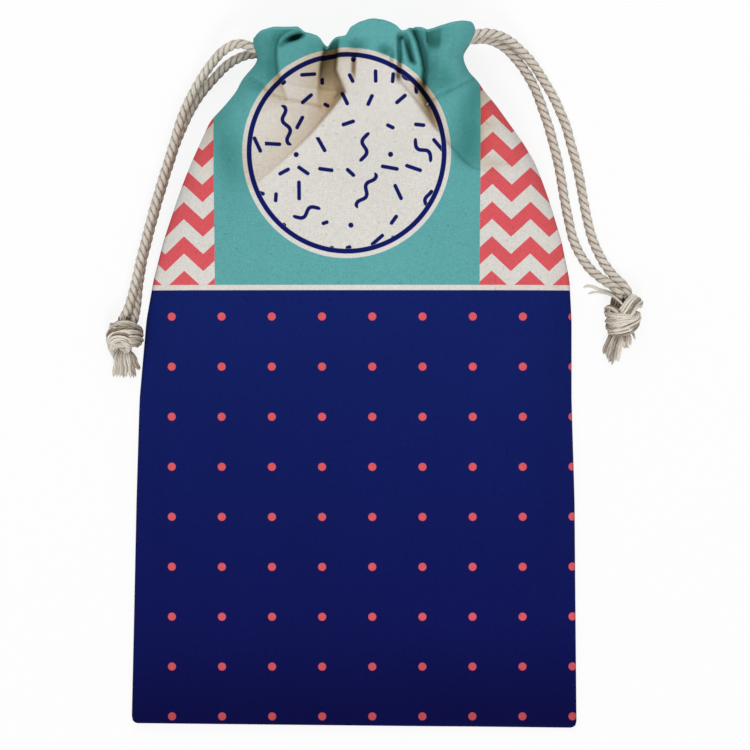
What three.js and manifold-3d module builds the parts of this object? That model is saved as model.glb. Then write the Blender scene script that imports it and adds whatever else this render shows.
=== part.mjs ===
import * as THREE from 'three';
import { mergeVertices } from 'three/addons/utils/BufferGeometryUtils.js';
import Module from 'manifold-3d';

// Kinchaku drawstring pouch, drawn closed and lying on its back, in millimetres.
// +X is to its right, +Y towards the mouth and +Z up through the front panel.

// Panels
const pouchWidth = 200;
const pouchHeight = 318;
const clothThickness = 0.8;
const layerGap = 0.3; // between layers of cloth that lie on each other
const seamAllowance = 10; // turned inside at the sides and the bottom
const cornerClip = 1.5; // the allowances are clipped this far apart at the bottom corners
const bodyPuff = 10; // how far the front panel stands up over the seams
const puffPower = 4; // higher keeps the front panel level further out

// Outline of the gathered top
const neckWidth = 90;
const neckShift = 2; // the neck is drawn in a little to the right
const ruffleWidth = 102.6;
const ruffleShift = 4.3;
const ruffleCurve = 1.5; // how late the ruffle flares above the cords
const leftShoulderRun = 292;
const leftShoulderPower = 4.14;
const rightShoulderRun = 140;
const rightShoulderPower = 2.45;
const gatherRun = 105; // length below the casing over which the folds fade

// Casing: the top of each panel, folded inside and stitched down
const casingDepth = 33;
const cordLineDepth = 12; // from the mouth to the line between the two cords
const casingSlack = 1.2; // room between a cord and the cloth round it
const slitRun = 7; // length over which a side slit opens
const slitAngle = THREE.MathUtils.degToRad(45); // how far round the neck each casing reaches
const pleatCount = 5;
const pleatFacets = 6;
const turnFacets = 4; // round each side of the neck
const frontPleat = 4;
const backPleat = 3;
const hemPleat = 1;
const ruffleGain = 0.3; // pleats stand out this much more at the mouth
const scallop = 4; // the mouth dips this far between pleats

// Cords
const cordDiameter = 4.2;
const cordSides = 10;
const laneGap = 1.2; // between the two cords inside a casing
const turnRadius = 8.5; // bend of a cord where it turns back at the far slit
const exitAngle = THREE.MathUtils.degToRad(34); // where the free length of a cord begins
const cordJointGap = 0.7; // between the held and the free length of a cord
const runSteps = 24;
const endSteps = 14;

// Free lengths of the cords: distance outside the pouch's edge, distance below the mouth, height of lift.
const leftFrontRoute = [
  [3.6, 12.3, 16.4], [7.3, 10.9, 14.6], [10.9, 11.0, 12.4], [13.9, 12.3, 10.6], [15.1, 14.2, 9.0],
  [15.7, 17.2, 7.2], [15.9, 20.4, 5.8], [16.0, 23.5, 5.0], [15.5, 29.4, 4.6], [14.9, 35.2, 4.45],
  [14.1, 40.6, 4.45], [13.0, 46.0, 4.45], [11.4, 53.2, 4.45], [9.9, 62.2, 4.45], [8.9, 71.2, 4.45],
  [8.3, 80.2, 4.45], [7.8, 89.2, 4.45], [7.5, 98.2, 4.45], [7.5, 107.2, 4.45], [7.6, 116.2, 4.45],
  [8.0, 123.4, 4.3], [8.9, 129.3, 4.2], [10.1, 133.8, 4.4],
];
const leftBackRoute = [
  [1.7, 14.1, 9.2], [4.8, 15.3, 7.4], [7.7, 17.9, 4.6], [9.1, 20.3, 2.8], [10.1, 23.5, 1.2],
  [11.0, 27.2, 0.3], [11.7, 30.8, 0], [12.0, 35.2, 0], [11.9, 40.6, 0], [11.2, 46.0, 0],
  [10.4, 53.2, 0], [9.0, 62.2, 0], [8.0, 71.2, 0], [7.4, 80.2, 0], [6.9, 89.2, 0],
  [6.6, 98.2, 0], [6.6, 107.2, 0], [6.5, 116.2, 0], [6.0, 123.4, 0.2], [5.5, 129.3, 1.4],
  [5.7, 133.8, 2.6],
];
const rightFrontRoute = [
  [3.4, 7.1, 15.6], [8.6, 5.5, 13.2], [15.5, 6.4, 10.4], [22.7, 9.2, 7.4], [27.0, 12.8, 4.8],
  [27.1, 16.3, 2.9], [26.9, 19.9, 1.5], [26.1, 24.4, 0.5], [25.2, 29.8, 0], [24.2, 35.2, 0],
  [22.9, 40.6, 0], [21.4, 47.0, 0], [19.2, 54.1, 0], [17.3, 62.2, 0], [15.2, 71.2, 0],
  [13.3, 80.2, 0], [12.2, 89.2, 0], [12.3, 98.2, 0], [14.5, 106.8, 0], [16.8, 111.5, 0.2],
  [19.4, 115.3, 1.2], [22.6, 118.3, 2.6], [24.6, 121.4, 4.0],
];
const rightBackRoute = [
  [4.9, 9.6, 9.0], [10.6, 9.4, 7.0], [16.2, 10.9, 4.8], [19.2, 13.7, 2.8], [19.6, 17.2, 1.2],
  [19.6, 20.8, 0.3], [19.2, 24.9, 0], [18.3, 29.8, 0], [16.9, 35.2, 0], [15.4, 40.6, 0],
  [13.5, 47.0, 0], [11.3, 54.1, 0], [9.2, 62.2, 0], [6.8, 71.2, 0], [4.8, 80.2, 0],
  [3.7, 89.2, 0], [3.6, 98.2, 0], [5.5, 105.4, 0], [8.2, 110.6, 0], [12.1, 114.9, 0.5],
  [15.6, 117.5, 1.6], [18.2, 119.5, 2.8], [19.3, 121.6, 4.0],
];

// Knots and tassels
const knotTurnRadius = 5.3; // middle of each wrapped turn
const knotTurns = 3;
const knotGap = 1.3; // from the ends of the strands to the knot's end
const knotTurnPitch = 3.4;
const knotTurnTilt = THREE.MathUtils.degToRad(24);
const knotSquash = 0.86; // a knot flattens a little where it lies
const knotCoreRadius = 3.2; // the strands that pass through the turns
const leftKnotTurn = THREE.MathUtils.degToRad(-8); // from pointing straight down the pouch
const rightKnotTurn = THREE.MathUtils.degToRad(-6);
const tasselLength = 12;
const tasselTopRadius = 3.6;
const tasselEndRadius = 6.4;
const tasselSquash = 0.62;
const tasselFlutes = 9;
const tasselFluteDepth = 0.16;
const leftTasselTurn = THREE.MathUtils.degToRad(8); // from its knot's own direction
const rightTasselTurn = THREE.MathUtils.degToRad(-7);

// Places that follow from the sizes above
const mouthY = pouchHeight / 2;
const bottomY = -mouthY;
const stitchY = mouthY - casingDepth;
const cordLineY = mouthY - cordLineDepth;
const cordRadius = cordDiameter / 2;
const layerPitch = clothThickness + layerGap;
const foldRadius = layerPitch / 2;
const foldReach = foldRadius + clothThickness / 2;
const seamHalf = 1.5 * layerPitch; // from the middle of a seam to either panel
const channelHalf = cordRadius + casingSlack + clothThickness / 2;
const neckRadius = turnRadius + channelHalf;
const neckHeight = clothThickness / 2 + neckRadius + backPleat;
const laneOffset = (cordDiameter + laneGap) / 2;
const leftLaneY = cordLineY - laneOffset;
const rightLaneY = cordLineY + laneOffset;
const laneMargin = cordRadius + casingSlack;
const outermostTurn = (knotTurns - 1) / 2;
const knotReach = knotTurnRadius * Math.sin(outermostTurn * knotTurnTilt) + cordRadius;
const knotHalfLength = outermostTurn * knotTurnPitch + knotReach;
const knotHalfHeight = (knotTurnRadius + cordRadius) * knotSquash;
const tasselDroop = Math.asin((knotHalfHeight - tasselEndRadius * tasselSquash) / tasselLength);

const { clamp, lerp, smoothstep } = THREE.MathUtils;
const up = new THREE.Vector3(0, 0, 1);
const wasm = await Module();
wasm.setup();

// Half of the pouch's width at a height, on the left (side -1) or the right (side 1)
function halfWidth(side, y) {
  const neck = neckWidth / 2 + side * neckShift;
  const ruffle = ruffleWidth / 2 + side * ruffleShift;
  if (y > cordLineY) {
    const rise = (y - cordLineY) / cordLineDepth;
    return lerp(neck, ruffle, rise ** ruffleCurve);
  }
  const run = side < 0 ? leftShoulderRun : rightShoulderRun;
  const power = side < 0 ? leftShoulderPower : rightShoulderPower;
  const rise = clamp(1 - (cordLineY - y) / run, 0, 1);
  return lerp(pouchWidth / 2, neck, rise ** power);
}

// The neck is an oval: level above and below, and round at the two slits.
function neckSide(u, y) {
  const side = u < 0 ? -1 : 1;
  const level = halfWidth(side, y) - clothThickness / 2 - neckRadius;
  const seamAngle = Math.acos(seamHalf / neckRadius);
  const turn = lerp(seamAngle, slitAngle, smoothstep(y, stitchY, stitchY + slitRun));
  return { side, level, turn, length: level + neckRadius * turn };
}

function neckPoint(face, u, y, radius) {
  const { side, level, length } = neckSide(u, y);
  const along = Math.abs(u) * length;
  const angle = Math.max(along - level, 0) / neckRadius;
  const x = Math.min(along, level) + radius * Math.sin(angle);
  return new THREE.Vector3(side * x, y, neckHeight + face * radius * Math.cos(angle));
}

// 1 on the ridge of a pleat and 0 between two pleats, with none round the slits
function pleat(u, y) {
  const { side, level, length } = neckSide(u, y);
  const along = side * Math.min(Math.abs(u) * length / level, 1);
  return 0.5 - 0.5 * Math.cos(Math.PI * pleatCount * (along + 1));
}

function ruffleRise(y) {
  return Math.max(y - cordLineY, 0) / cordLineDepth;
}

// Outer layer of a panel, front (face 1) or back (face -1), with u from -1 to 1 across it
function outerLayer(face, u, y) {
  const side = u < 0 ? -1 : 1;
  const up01 = clamp((y - bottomY) / (stitchY - bottomY), 0, 1);
  const puff = bodyPuff * (1 - (1 - up01) ** 2) * (1 - Math.abs(u) ** puffPower);
  const flatX = u * (halfWidth(side, y) - foldReach);
  const flatZ = clothThickness / 2 + (face > 0 ? 2 * seamHalf + puff : 0);
  const height = (face > 0 ? frontPleat : backPleat) * (face > 0 ? 1 + ruffleGain * ruffleRise(y) : 1);
  const gathered = neckPoint(face, u, y, neckRadius + height * pleat(u, y));
  const flat = new THREE.Vector3(flatX, y, flatZ);
  const point = flat.lerp(gathered, smoothstep(y, stitchY - gatherRun, stitchY));
  point.y -= scallop * (1 - pleat(u, y)) * ruffleRise(y) ** 2;
  return point;
}

// Direction from the outer layer to the inside of the pouch
function inward(face, u, y) {
  const step = 0.002;
  const across = outerLayer(face, u + step, y).sub(outerLayer(face, u - step, y));
  const along = outerLayer(face, u, y + step).sub(outerLayer(face, u, y - step));
  return across.cross(along).multiplyScalar(-face).normalize();
}

// Inner layer of the casing: sewn to the outer layer at the stitch line, clear of the cords above it
function innerLayer(face, u, y, foldY) {
  const opening = smoothstep(y, stitchY, leftLaneY - laneMargin);
  const closing = smoothstep(y, rightLaneY + laneMargin, foldY);
  const sewn = outerLayer(face, u, y).addScaledVector(inward(face, u, y), layerPitch);
  const channel = neckPoint(face, u, y, turnRadius - channelHalf - hemPleat * pleat(u, y));
  channel.y = sewn.y;
  return sewn.lerp(channel, opening * (1 - closing));
}

// A point on a rounded fold from one layer to another, which stands out towards a direction
function foldPoint(from, to, outwards, share) {
  const middle = from.clone().lerp(to, 0.5);
  const arm = from.clone().sub(middle);
  const angle = share * Math.PI;
  const reach = arm.length() * Math.sin(angle);
  return middle.addScaledVector(arm, Math.cos(angle)).addScaledVector(outwards, reach);
}

function spread(from, to, count) {
  return Array.from({ length: count + 1 }, (unused, index) => lerp(from, to, index / count));
}

// A sheet of one thickness on both sides of a surface, closed round its rim. Its grid of cells may have
// parts left out, which are the cells that keep refuses.
function thickSheet(surface, us, vs, thickness, keep) {
  const step = 1e-4;
  const columns = us.length;
  const skin = columns * vs.length;
  const positions = [];
  for (const half of [thickness / 2, -thickness / 2]) {
    for (const v of vs) {
      for (const u of us) {
        const across = surface(Math.min(u + step, us.at(-1)), v).sub(surface(Math.max(u - step, us[0]), v));
        const along = surface(u, Math.min(v + step, vs.at(-1))).sub(surface(u, Math.max(v - step, vs[0])));
        const normal = across.cross(along).normalize();
        positions.push(...surface(u, v).addScaledVector(normal, half).toArray());
      }
    }
  }
  const inside = (column, row) => (
    column >= 0 && row >= 0 && column < columns - 1 && row < vs.length - 1 && keep(column, row)
  );
  const index = [];
  const quad = (a, b, c, d) => index.push(a, b, c, a, c, d);
  for (let row = 0; row < vs.length - 1; row += 1) {
    for (let column = 0; column < columns - 1; column += 1) {
      if (!inside(column, row)) continue;
      const a = row * columns + column;
      const b = a + 1;
      const c = b + columns;
      const d = a + columns;
      quad(a, b, c, d);
      quad(skin + a, skin + d, skin + c, skin + b);
      if (!inside(column, row - 1)) quad(a, skin + a, skin + b, b);
      if (!inside(column, row + 1)) quad(c, skin + c, skin + d, d);
      if (!inside(column - 1, row)) quad(d, skin + d, skin + a, a);
      if (!inside(column + 1, row)) quad(b, skin + b, skin + c, c);
    }
  }
  const geometry = new THREE.BufferGeometry();
  geometry.setAttribute('position', new THREE.Float32BufferAttribute(positions, 3));
  geometry.setIndex(index);
  return geometry;
}

function toSolid(geometry) {
  const bare = geometry.clone();
  bare.deleteAttribute('normal');
  bare.deleteAttribute('uv');
  const merged = mergeVertices(bare, 1e-4);
  return new wasm.Manifold(new wasm.Mesh({
    numProp: 3,
    vertProperties: new Float32Array(merged.getAttribute('position').array),
    triVerts: new Uint32Array(merged.getIndex().array),
  }));
}

function toGeometry(solid) {
  const mesh = solid.getMesh();
  const geometry = new THREE.BufferGeometry();
  geometry.setAttribute('position', new THREE.Float32BufferAttribute(mesh.vertProperties, 3));
  geometry.setIndex(Array.from(mesh.triVerts));
  return geometry;
}

// One panel of cloth. Along it come the bottom allowance, the bottom fold, the outer layer, the mouth fold
// and the hem inside the casing. Across it, between the bottom fold and the stitch line, a fold and an
// allowance stand on either side of the outer layer. Each fold is one unit of its parameter.
function panelGeometry(face) {
  const startY = bottomY + foldReach;
  const foldY = mouthY - foldReach;
  const toMouth = foldY - startY;
  const southwards = new THREE.Vector3(0, -1, 0);
  const northwards = new THREE.Vector3(0, 1, 0);
  const bottomAllowance = (u, depth) => {
    const full = halfWidth(u < 0 ? -1 : 1, startY) - foldReach;
    const clipped = u * (full - depth) / full;
    return outerLayer(face, clipped, startY + depth).addScaledVector(up, -face * layerPitch);
  };
  const middle = (u, v) => {
    if (v < -1) return bottomAllowance(u, -1 - v);
    if (v < 0) return foldPoint(outerLayer(face, u, startY), bottomAllowance(u, 0), southwards, -v);
    if (v <= toMouth) return outerLayer(face, u, startY + v);
    const outer = outerLayer(face, u, foldY);
    const inner = innerLayer(face, u, foldY, foldY);
    if (v < toMouth + 1) return foldPoint(outer, inner, northwards, v - toMouth);
    return innerLayer(face, u, foldY - (v - toMouth - 1), foldY);
  };
  const sideAllowance = (side, y, depth) => {
    const flat = halfWidth(side, y) - foldReach;
    const length = lerp(flat, neckSide(side, y).length, smoothstep(y, stitchY - gatherRun, stitchY));
    const u = side * (1 - depth / length);
    return outerLayer(face, u, y).addScaledVector(inward(face, u, y), layerPitch);
  };
  const surface = (u, v) => {
    if (Math.abs(u) <= 1) return middle(u, v);
    const side = Math.sign(u);
    const y = startY + clamp(v, 0, toMouth);
    const past = Math.abs(u) - 1;
    const clippedAllowance = clamp(v - cornerClip, 0, seamAllowance);
    if (past > 1) return sideAllowance(side, y, (past - 1) * clippedAllowance);
    const edge = outerLayer(face, side, y);
    const outwards = edge.clone().sub(outerLayer(face, side * 0.99, y)).normalize();
    return foldPoint(edge, sideAllowance(side, y, 0), outwards, past);
  };
  const { level, length } = neckSide(1, cordLineY);
  const levelShare = level / length;
  const right = [...spread(levelShare, 1, turnFacets), ...spread(1, 2, 3).slice(1), 3];
  const left = right.map((u) => -u).reverse();
  const pleats = spread(-levelShare, levelShare, pleatCount * pleatFacets).slice(1, -1);
  const across = [...left, ...pleats, ...right];
  const seamStart = cornerClip + layerGap;
  const seamEnd = stitchY - startY - layerPitch - layerGap;
  const gatherStart = stitchY - gatherRun - startY;
  const hemStart = toMouth + 1;
  const hemRows = [rightLaneY + laneMargin, cordLineY, leftLaneY - laneMargin, stitchY];
  const along = [
    -1 - seamAllowance,
    ...spread(-1, 0, 3),
    seamStart,
    cornerClip + seamAllowance,
    gatherStart / 2,
    ...spread(gatherStart, seamEnd, 7),
    ...spread(stitchY - startY, toMouth, 6),
    ...spread(toMouth, hemStart, 3).slice(1),
    ...hemRows.map((y) => hemStart + foldY - y),
  ];
  const keep = (column, row) => {
    const u = (across[column] + across[column + 1]) / 2;
    const v = (along[row] + along[row + 1]) / 2;
    return Math.abs(u) < 1 || (v > seamStart && v < seamEnd);
  };
  return thickSheet(surface, across, along, clothThickness, keep);
}

// A cord bent round the neck inside a casing, at an angle round the slit on one side
function lanePoint(side, face, laneY, angle) {
  const { level } = neckSide(side, laneY);
  const x = side * (level + turnRadius * Math.sin(angle));
  return new THREE.Vector3(x, laneY, neckHeight + face * turnRadius * Math.cos(angle));
}

function cordGeometry(points, steps) {
  const section = new THREE.Shape().absarc(0, 0, cordRadius, 0, 2 * Math.PI, false);
  const extrudePath = new THREE.CatmullRomCurve3(points, false, 'centripetal');
  return new THREE.ExtrudeGeometry(section, { steps, curveSegments: cordSides / 2, extrudePath });
}

// The length that the casings hold: in at one slit, round the far slit and back
function cordRun(side, laneY) {
  const points = [];
  for (const face of [1, -1]) {
    const nearSide = [exitAngle, exitAngle / 2, 0].map((angle) => lanePoint(side, face, laneY, angle));
    const farSide = spread(0, Math.PI / 2, turnFacets).map((angle) => lanePoint(-side, face, laneY, angle));
    const middle = nearSide.at(-1).clone().lerp(farSide[0], 0.5);
    const half = [...nearSide, middle, ...farSide];
    points.push(...(face > 0 ? half : half.reverse().slice(1)));
  }
  return cordGeometry(points, runSteps);
}

// A free length: out of the casing, level through the slit and along its route beside the pouch
function freeEnd(side, face, laneY, route) {
  const { level } = neckSide(side, laneY);
  const startAngle = exitAngle + cordJointGap / turnRadius;
  const levelX = side * (level + 2 * turnRadius * Math.sin(slitAngle));
  const levelZ = neckHeight + face * turnRadius * (2 * Math.cos(slitAngle) - 1);
  const points = [
    lanePoint(side, face, laneY, startAngle),
    lanePoint(side, face, laneY, slitAngle),
    new THREE.Vector3(levelX, laneY, levelZ),
  ];
  for (const [outside, below, lift] of route) {
    const y = mouthY - below;
    points.push(new THREE.Vector3(side * (halfWidth(side, y) + outside), y, cordRadius + lift));
  }
  return points;
}

// Both ends of a cord tied in one overhand knot: turns of doubled cord wrapped round the passing strands
function knotGeometry() {
  const passing = new THREE.CylinderGeometry(knotCoreRadius, knotCoreRadius, 2 * knotHalfLength, 12);
  const body = new THREE.SphereGeometry(knotTurnRadius + cordRadius / 2, 12, 8);
  let knot = toSolid(passing).add(toSolid(body));
  for (let turn = 0; turn < knotTurns; turn += 1) {
    const share = turn - outermostTurn;
    const wrap = new THREE.TorusGeometry(knotTurnRadius, cordRadius, 7, 16);
    wrap.rotateX(Math.PI / 2);
    wrap.rotateZ(share * knotTurnTilt);
    wrap.translate(0, share * knotTurnPitch, 0);
    knot = knot.add(toSolid(wrap));
  }
  const geometry = toGeometry(knot);
  geometry.scale(1, 1, knotSquash);
  return geometry;
}

// Frayed strands under a knot, spread like a small brush
function tasselGeometry() {
  const sides = tasselFlutes * 3;
  const brush = new THREE.CylinderGeometry(tasselTopRadius, tasselEndRadius, tasselLength, sides, 3);
  const position = brush.getAttribute('position');
  const point = new THREE.Vector3();
  for (let index = 0; index < position.count; index += 1) {
    point.fromBufferAttribute(position, index);
    const flute = 1 - tasselFluteDepth * (0.5 - 0.5 * Math.cos(tasselFlutes * Math.atan2(point.z, point.x)));
    position.setXYZ(index, point.x * flute, point.y, point.z * flute * tasselSquash);
  }
  brush.translate(0, -tasselLength / 2, 0);
  return brush;
}

const canvas = (color) => new THREE.MeshStandardMaterial({ color, roughness: 0.92, metalness: 0 });
const cotton = () => new THREE.MeshStandardMaterial({ color: 0xcfc2ae, roughness: 0.95, metalness: 0 });

function addPiece(parent, name, geometry, material) {
  const shown = geometry.getAttribute('normal') ? geometry : geometry.toNonIndexed();
  shown.computeVertexNormals();
  const mesh = new THREE.Mesh(shown, material);
  mesh.name = name;
  parent.add(mesh);
  return mesh;
}

// One cord: its held run, two free ends, the knot that ties them and the tassel
function addCord(parent, cord) {
  const { label, side, laneY } = cord;
  const frontPoints = freeEnd(side, 1, laneY, cord.frontRoute);
  const backPoints = freeEnd(side, -1, laneY, cord.backRoute);
  addPiece(parent, `${label}_cord_run`, cordRun(side, laneY), cotton());
  addPiece(parent, `${label}_cord_front_end`, cordGeometry(frontPoints, endSteps), cotton());
  addPiece(parent, `${label}_cord_back_end`, cordGeometry(backPoints, endSteps), cotton());
  const tied = frontPoints.at(-1).clone().lerp(backPoints.at(-1), 0.5);
  const heading = new THREE.Vector3(Math.sin(cord.knotTurn), -Math.cos(cord.knotTurn), 0);
  const place = new THREE.Group();
  place.position.copy(tied).addScaledVector(heading, knotHalfLength + knotGap).setZ(knotHalfHeight);
  place.rotation.z = cord.knotTurn;
  addPiece(place, `${label}_knot`, knotGeometry(), cotton());
  const tassel = addPiece(place, `${label}_tassel`, tasselGeometry(), cotton());
  tassel.position.y = -knotHalfLength - layerGap - tasselTopRadius * Math.abs(Math.sin(cord.tasselTurn));
  tassel.rotation.set(tasselDroop, 0, cord.tasselTurn, 'ZXY');
  parent.add(place);
}

const pouch = new THREE.Group();
addPiece(pouch, 'front_panel', panelGeometry(1), canvas(0x16225f));
addPiece(pouch, 'back_panel', panelGeometry(-1), canvas(0x131a55));
addCord(pouch, {
  label: 'left',
  side: -1,
  laneY: leftLaneY,
  frontRoute: leftFrontRoute,
  backRoute: leftBackRoute,
  knotTurn: leftKnotTurn,
  tasselTurn: leftTasselTurn,
});
addCord(pouch, {
  label: 'right',
  side: 1,
  laneY: rightLaneY,
  frontRoute: rightFrontRoute,
  backRoute: rightBackRoute,
  knotTurn: rightKnotTurn,
  tasselTurn: rightTasselTurn,
});

export default pouch;
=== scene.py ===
import math
import random

import bmesh
import bpy
import numpy as np
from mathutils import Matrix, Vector
from mathutils.bvhtree import BVHTree


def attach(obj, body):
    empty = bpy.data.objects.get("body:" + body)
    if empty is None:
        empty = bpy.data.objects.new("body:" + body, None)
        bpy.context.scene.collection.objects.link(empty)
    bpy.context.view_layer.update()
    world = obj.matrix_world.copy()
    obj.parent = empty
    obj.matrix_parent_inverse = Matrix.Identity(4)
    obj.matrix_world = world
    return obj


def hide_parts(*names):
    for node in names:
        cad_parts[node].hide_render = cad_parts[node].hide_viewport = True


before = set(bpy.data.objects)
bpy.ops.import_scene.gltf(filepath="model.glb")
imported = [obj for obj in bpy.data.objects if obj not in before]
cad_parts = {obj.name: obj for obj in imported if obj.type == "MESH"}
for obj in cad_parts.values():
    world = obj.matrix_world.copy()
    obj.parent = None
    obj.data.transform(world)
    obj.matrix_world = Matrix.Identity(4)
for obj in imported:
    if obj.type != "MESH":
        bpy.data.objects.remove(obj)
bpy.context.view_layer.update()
scene = bpy.context.scene
scene.view_settings.view_transform = "Standard"
mm = 0.001
print("frame loaded:", sorted(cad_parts))

# Camera: straight down on the pouch, with a long lens
cameraSet = {
    "lens": 200,
    "sensor": 36,
    "frameWidth": 0.3375,  # metres across the picture at the focus height
    "pixels": 750,
    "centreX": 0.009,
    "focusHeight": 0.006,
    "clipEnd": 20,
}
cameraReach = cameraSet["frameWidth"] * cameraSet["lens"] / cameraSet["sensor"]
pixelSize = cameraSet["frameWidth"] / cameraSet["pixels"] / mm
pictureMiddle = cameraSet["pixels"] / 2
shiftX = cameraSet["centreX"] / mm
cameraData = bpy.data.cameras.new("overheadCamera")
cameraData.lens = cameraSet["lens"]
cameraData.sensor_width = cameraSet["sensor"]
cameraData.clip_end = cameraSet["clipEnd"]
camera = bpy.data.objects.new("overheadCamera", cameraData)
camera.location = (cameraSet["centreX"], 0, cameraSet["focusHeight"] + cameraReach)
scene.collection.objects.link(camera)
scene.camera = camera


# Picture pixels of points given in millimetres, seen by the camera above
def toPicture(x, y, z):
    grow = cameraReach / (cameraReach - (z * mm - cameraSet["focusHeight"]))
    return pictureMiddle + (x - shiftX) * grow / pixelSize, pictureMiddle - y * grow / pixelSize


# 0 up to low and 1 from high, with a smooth rise between them
def ease(value, low, high):
    share = np.clip((value - low) / (high - low), 0, 1)
    return share * share * (3 - 2 * share)


# Shader helper: adds nodes to one material and joins numbers or sockets to their inputs
class Finish:
    def __init__(self, name):
        self.material = bpy.data.materials.new(name)
        self.material.use_nodes = True
        self.tree = self.material.node_tree
        self.shader = self.tree.nodes["Principled BSDF"]
        self.coords = self.tree.nodes.new("ShaderNodeTexCoord")

    def add(self, kind, **values):
        node = self.tree.nodes.new("ShaderNode" + kind)
        for key, value in values.items():
            setattr(node, key, value)
        return node

    def plug(self, value, socket):
        if isinstance(value, bpy.types.NodeSocket):
            self.tree.links.new(value, socket)
        else:
            socket.default_value = value

    def sums(self, operation, *values):
        node = self.add("Math", operation=operation)
        for index, value in enumerate(values):
            self.plug(value, node.inputs[index])
        return node.outputs[0]

    def length(self, first, second):
        squares = [self.sums("MULTIPLY", value, value) for value in (first, second)]
        return self.sums("SQRT", self.sums("ADD", *squares))

    def blend(self, share, first, second, mode="MIX"):
        node = self.add("Mix", data_type="RGBA", blend_type=mode)
        self.plug(share, node.inputs["Factor"])
        self.plug(first, node.inputs[6])
        self.plug(second, node.inputs[7])
        return node.outputs[2]

    def noise(self, scale, detail, stretch=(1, 1, 1), source=None):
        mapping = self.add("Mapping")
        mapping.inputs["Scale"].default_value = stretch
        self.plug(source or self.coords.outputs["Object"], mapping.inputs["Vector"])
        node = self.add("TexNoise")
        self.plug(mapping.outputs["Vector"], node.inputs["Vector"])
        node.inputs["Scale"].default_value = scale
        node.inputs["Detail"].default_value = detail
        return node.outputs["Fac"]

    def range(self, value, fromLow, fromHigh, low, high, smooth=False):
        node = self.add("MapRange", clamp=True)
        if smooth:
            node.interpolation_type = "SMOOTHSTEP"
        for index, item in enumerate((value, fromLow, fromHigh, low, high)):
            self.plug(item, node.inputs[index])
        return node.outputs[0]

    def axes(self):
        node = self.add("SeparateXYZ")
        self.plug(self.coords.outputs["Object"], node.inputs[0])
        return node.outputs[0], node.outputs[1]

    def bump(self, height, strength, distance):
        node = self.add("Bump")
        node.inputs["Strength"].default_value = strength
        node.inputs["Distance"].default_value = distance
        self.plug(height, node.inputs["Height"])
        self.plug(node.outputs[0], self.shader.inputs["Normal"])

    def settle(self, values):
        for socketName, value in values.items():
            self.shader.inputs[socketName].default_value = value


def rgb(red, green, blue):
    def toLinear(value):
        value /= 255
        return value / 12.92 if value <= 0.04045 else ((value + 0.055) / 1.055) ** 2.4
    return (toLinear(red), toLinear(green), toLinear(blue), 1)


noiseSpan = (0.3, 0.7)  # most values of a noise lie between these

# Cotton for cords and yarn. Pieces carry a painted shade for grooves, gaps and the sides that face the pouch,
# and a place round their strand. The deep colours are that painted shade.
cottonSet = {
    "light": rgb(224, 217, 206),
    "deep": rgb(112, 88, 60),
    "yarnLight": rgb(236, 229, 217),
    "yarnDeep": rgb(100, 74, 42),
    "surface": {"Roughness": 0.95, "Sheen Weight": 0.08, "Specular IOR Level": 0.1},
    "fibre": (3400, 2),  # scale and detail of the noise
    "fibreStretch": (1, 1, 0.09),
    "fibreShade": (-0.28, 0.10),  # what the fibres add to the shade
    "patch": (150, 3),
    "patchShade": (-0.08, 0.04),
    "bump": (0.6, 0.0003),  # strength and distance
}


def cottonFinish(name, light, dark):
    finish = Finish(name)
    strand = finish.add("Attribute", attribute_name="strand")
    # the shade attribute is painted shade: it blends towards the dark colour
    groove = finish.add("Attribute", attribute_name="shade")
    fibre = finish.noise(*cottonSet["fibre"], cottonSet["fibreStretch"], strand.outputs["Vector"])
    patch = finish.noise(*cottonSet["patch"])
    fibreShade = finish.range(fibre, *noiseSpan, *cottonSet["fibreShade"])
    patchShade = finish.range(patch, *noiseSpan, *cottonSet["patchShade"])
    share = finish.sums("ADD", finish.sums("ADD", groove.outputs["Fac"], fibreShade), patchShade)
    share = finish.range(share, 0.0, 1.0, 0.0, 1.0)
    finish.plug(finish.blend(share, dark, light), finish.shader.inputs["Base Color"])
    finish.settle(cottonSet["surface"])
    finish.bump(fibre, *cottonSet["bump"])
    return finish.material


cordFinish = cottonFinish("twisted cotton", cottonSet["light"], cottonSet["deep"])
yarnFinish = cottonFinish("loose cotton yarn", cottonSet["yarnLight"], cottonSet["yarnDeep"])

# Printed canvas. Sizes of the print are in metres on the pouch.
printSet = {
    "navyHigh": rgb(17, 32, 100),
    "navyLow": rgb(13, 16, 81),
    "navySpan": (-0.15, 0.04),  # from low to high along the pouch; the navy darkens towards the bottom, partly its own tone and partly painted shade of light that falls off
    "teal": rgb(95, 166, 167),
    "cream": rgb(219, 215, 209),
    "coral": rgb(218, 90, 96),
    "ink": rgb(17, 26, 96),
    "tealLeft": -0.06285,
    "tealRight": 0.05589,
    "bandTop": 0.0404,
    "bandLow": 0.0381,
    "dotFirst": (-0.08240, 0.02625),
    "dotPitch": (0.022545, 0.0225),
    "dotRadius": 0.0018,
    "chevronPeak": -0.0766,
    "chevronPitch": 0.017235,
    "chevronTop": 0.1233,
    "chevronRepeat": 0.0153,
    "chevronDrop": 0.0079,
    "medallion": (-0.0036, 0.0987),
    "medallionRadius": 0.0464,
    "ringOuter": 0.0444,
    "ringInner": 0.0422,
    "markHalf": 0.00086,  # half the width of a mark
    "markGap": 0.0036,  # between dashes and waves
    "shortMark": 0.0006,  # marks shorter than this are dots, and wider by up to the next value
    "dotGrow": 0.0003,
    "creamFoldShade": (0.66, 0.52, 0.35, 1),  # painted shade of the folds: what it keeps of each colour, and what the deepest keep of that
    "tealFoldShade": (0.52, 0.67, 0.63, 1),
    "deepFoldShade": (0.25, 0.24, 0.19, 1),
    "edge": 0.00012,  # half the width of a soft edge
}
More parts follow.
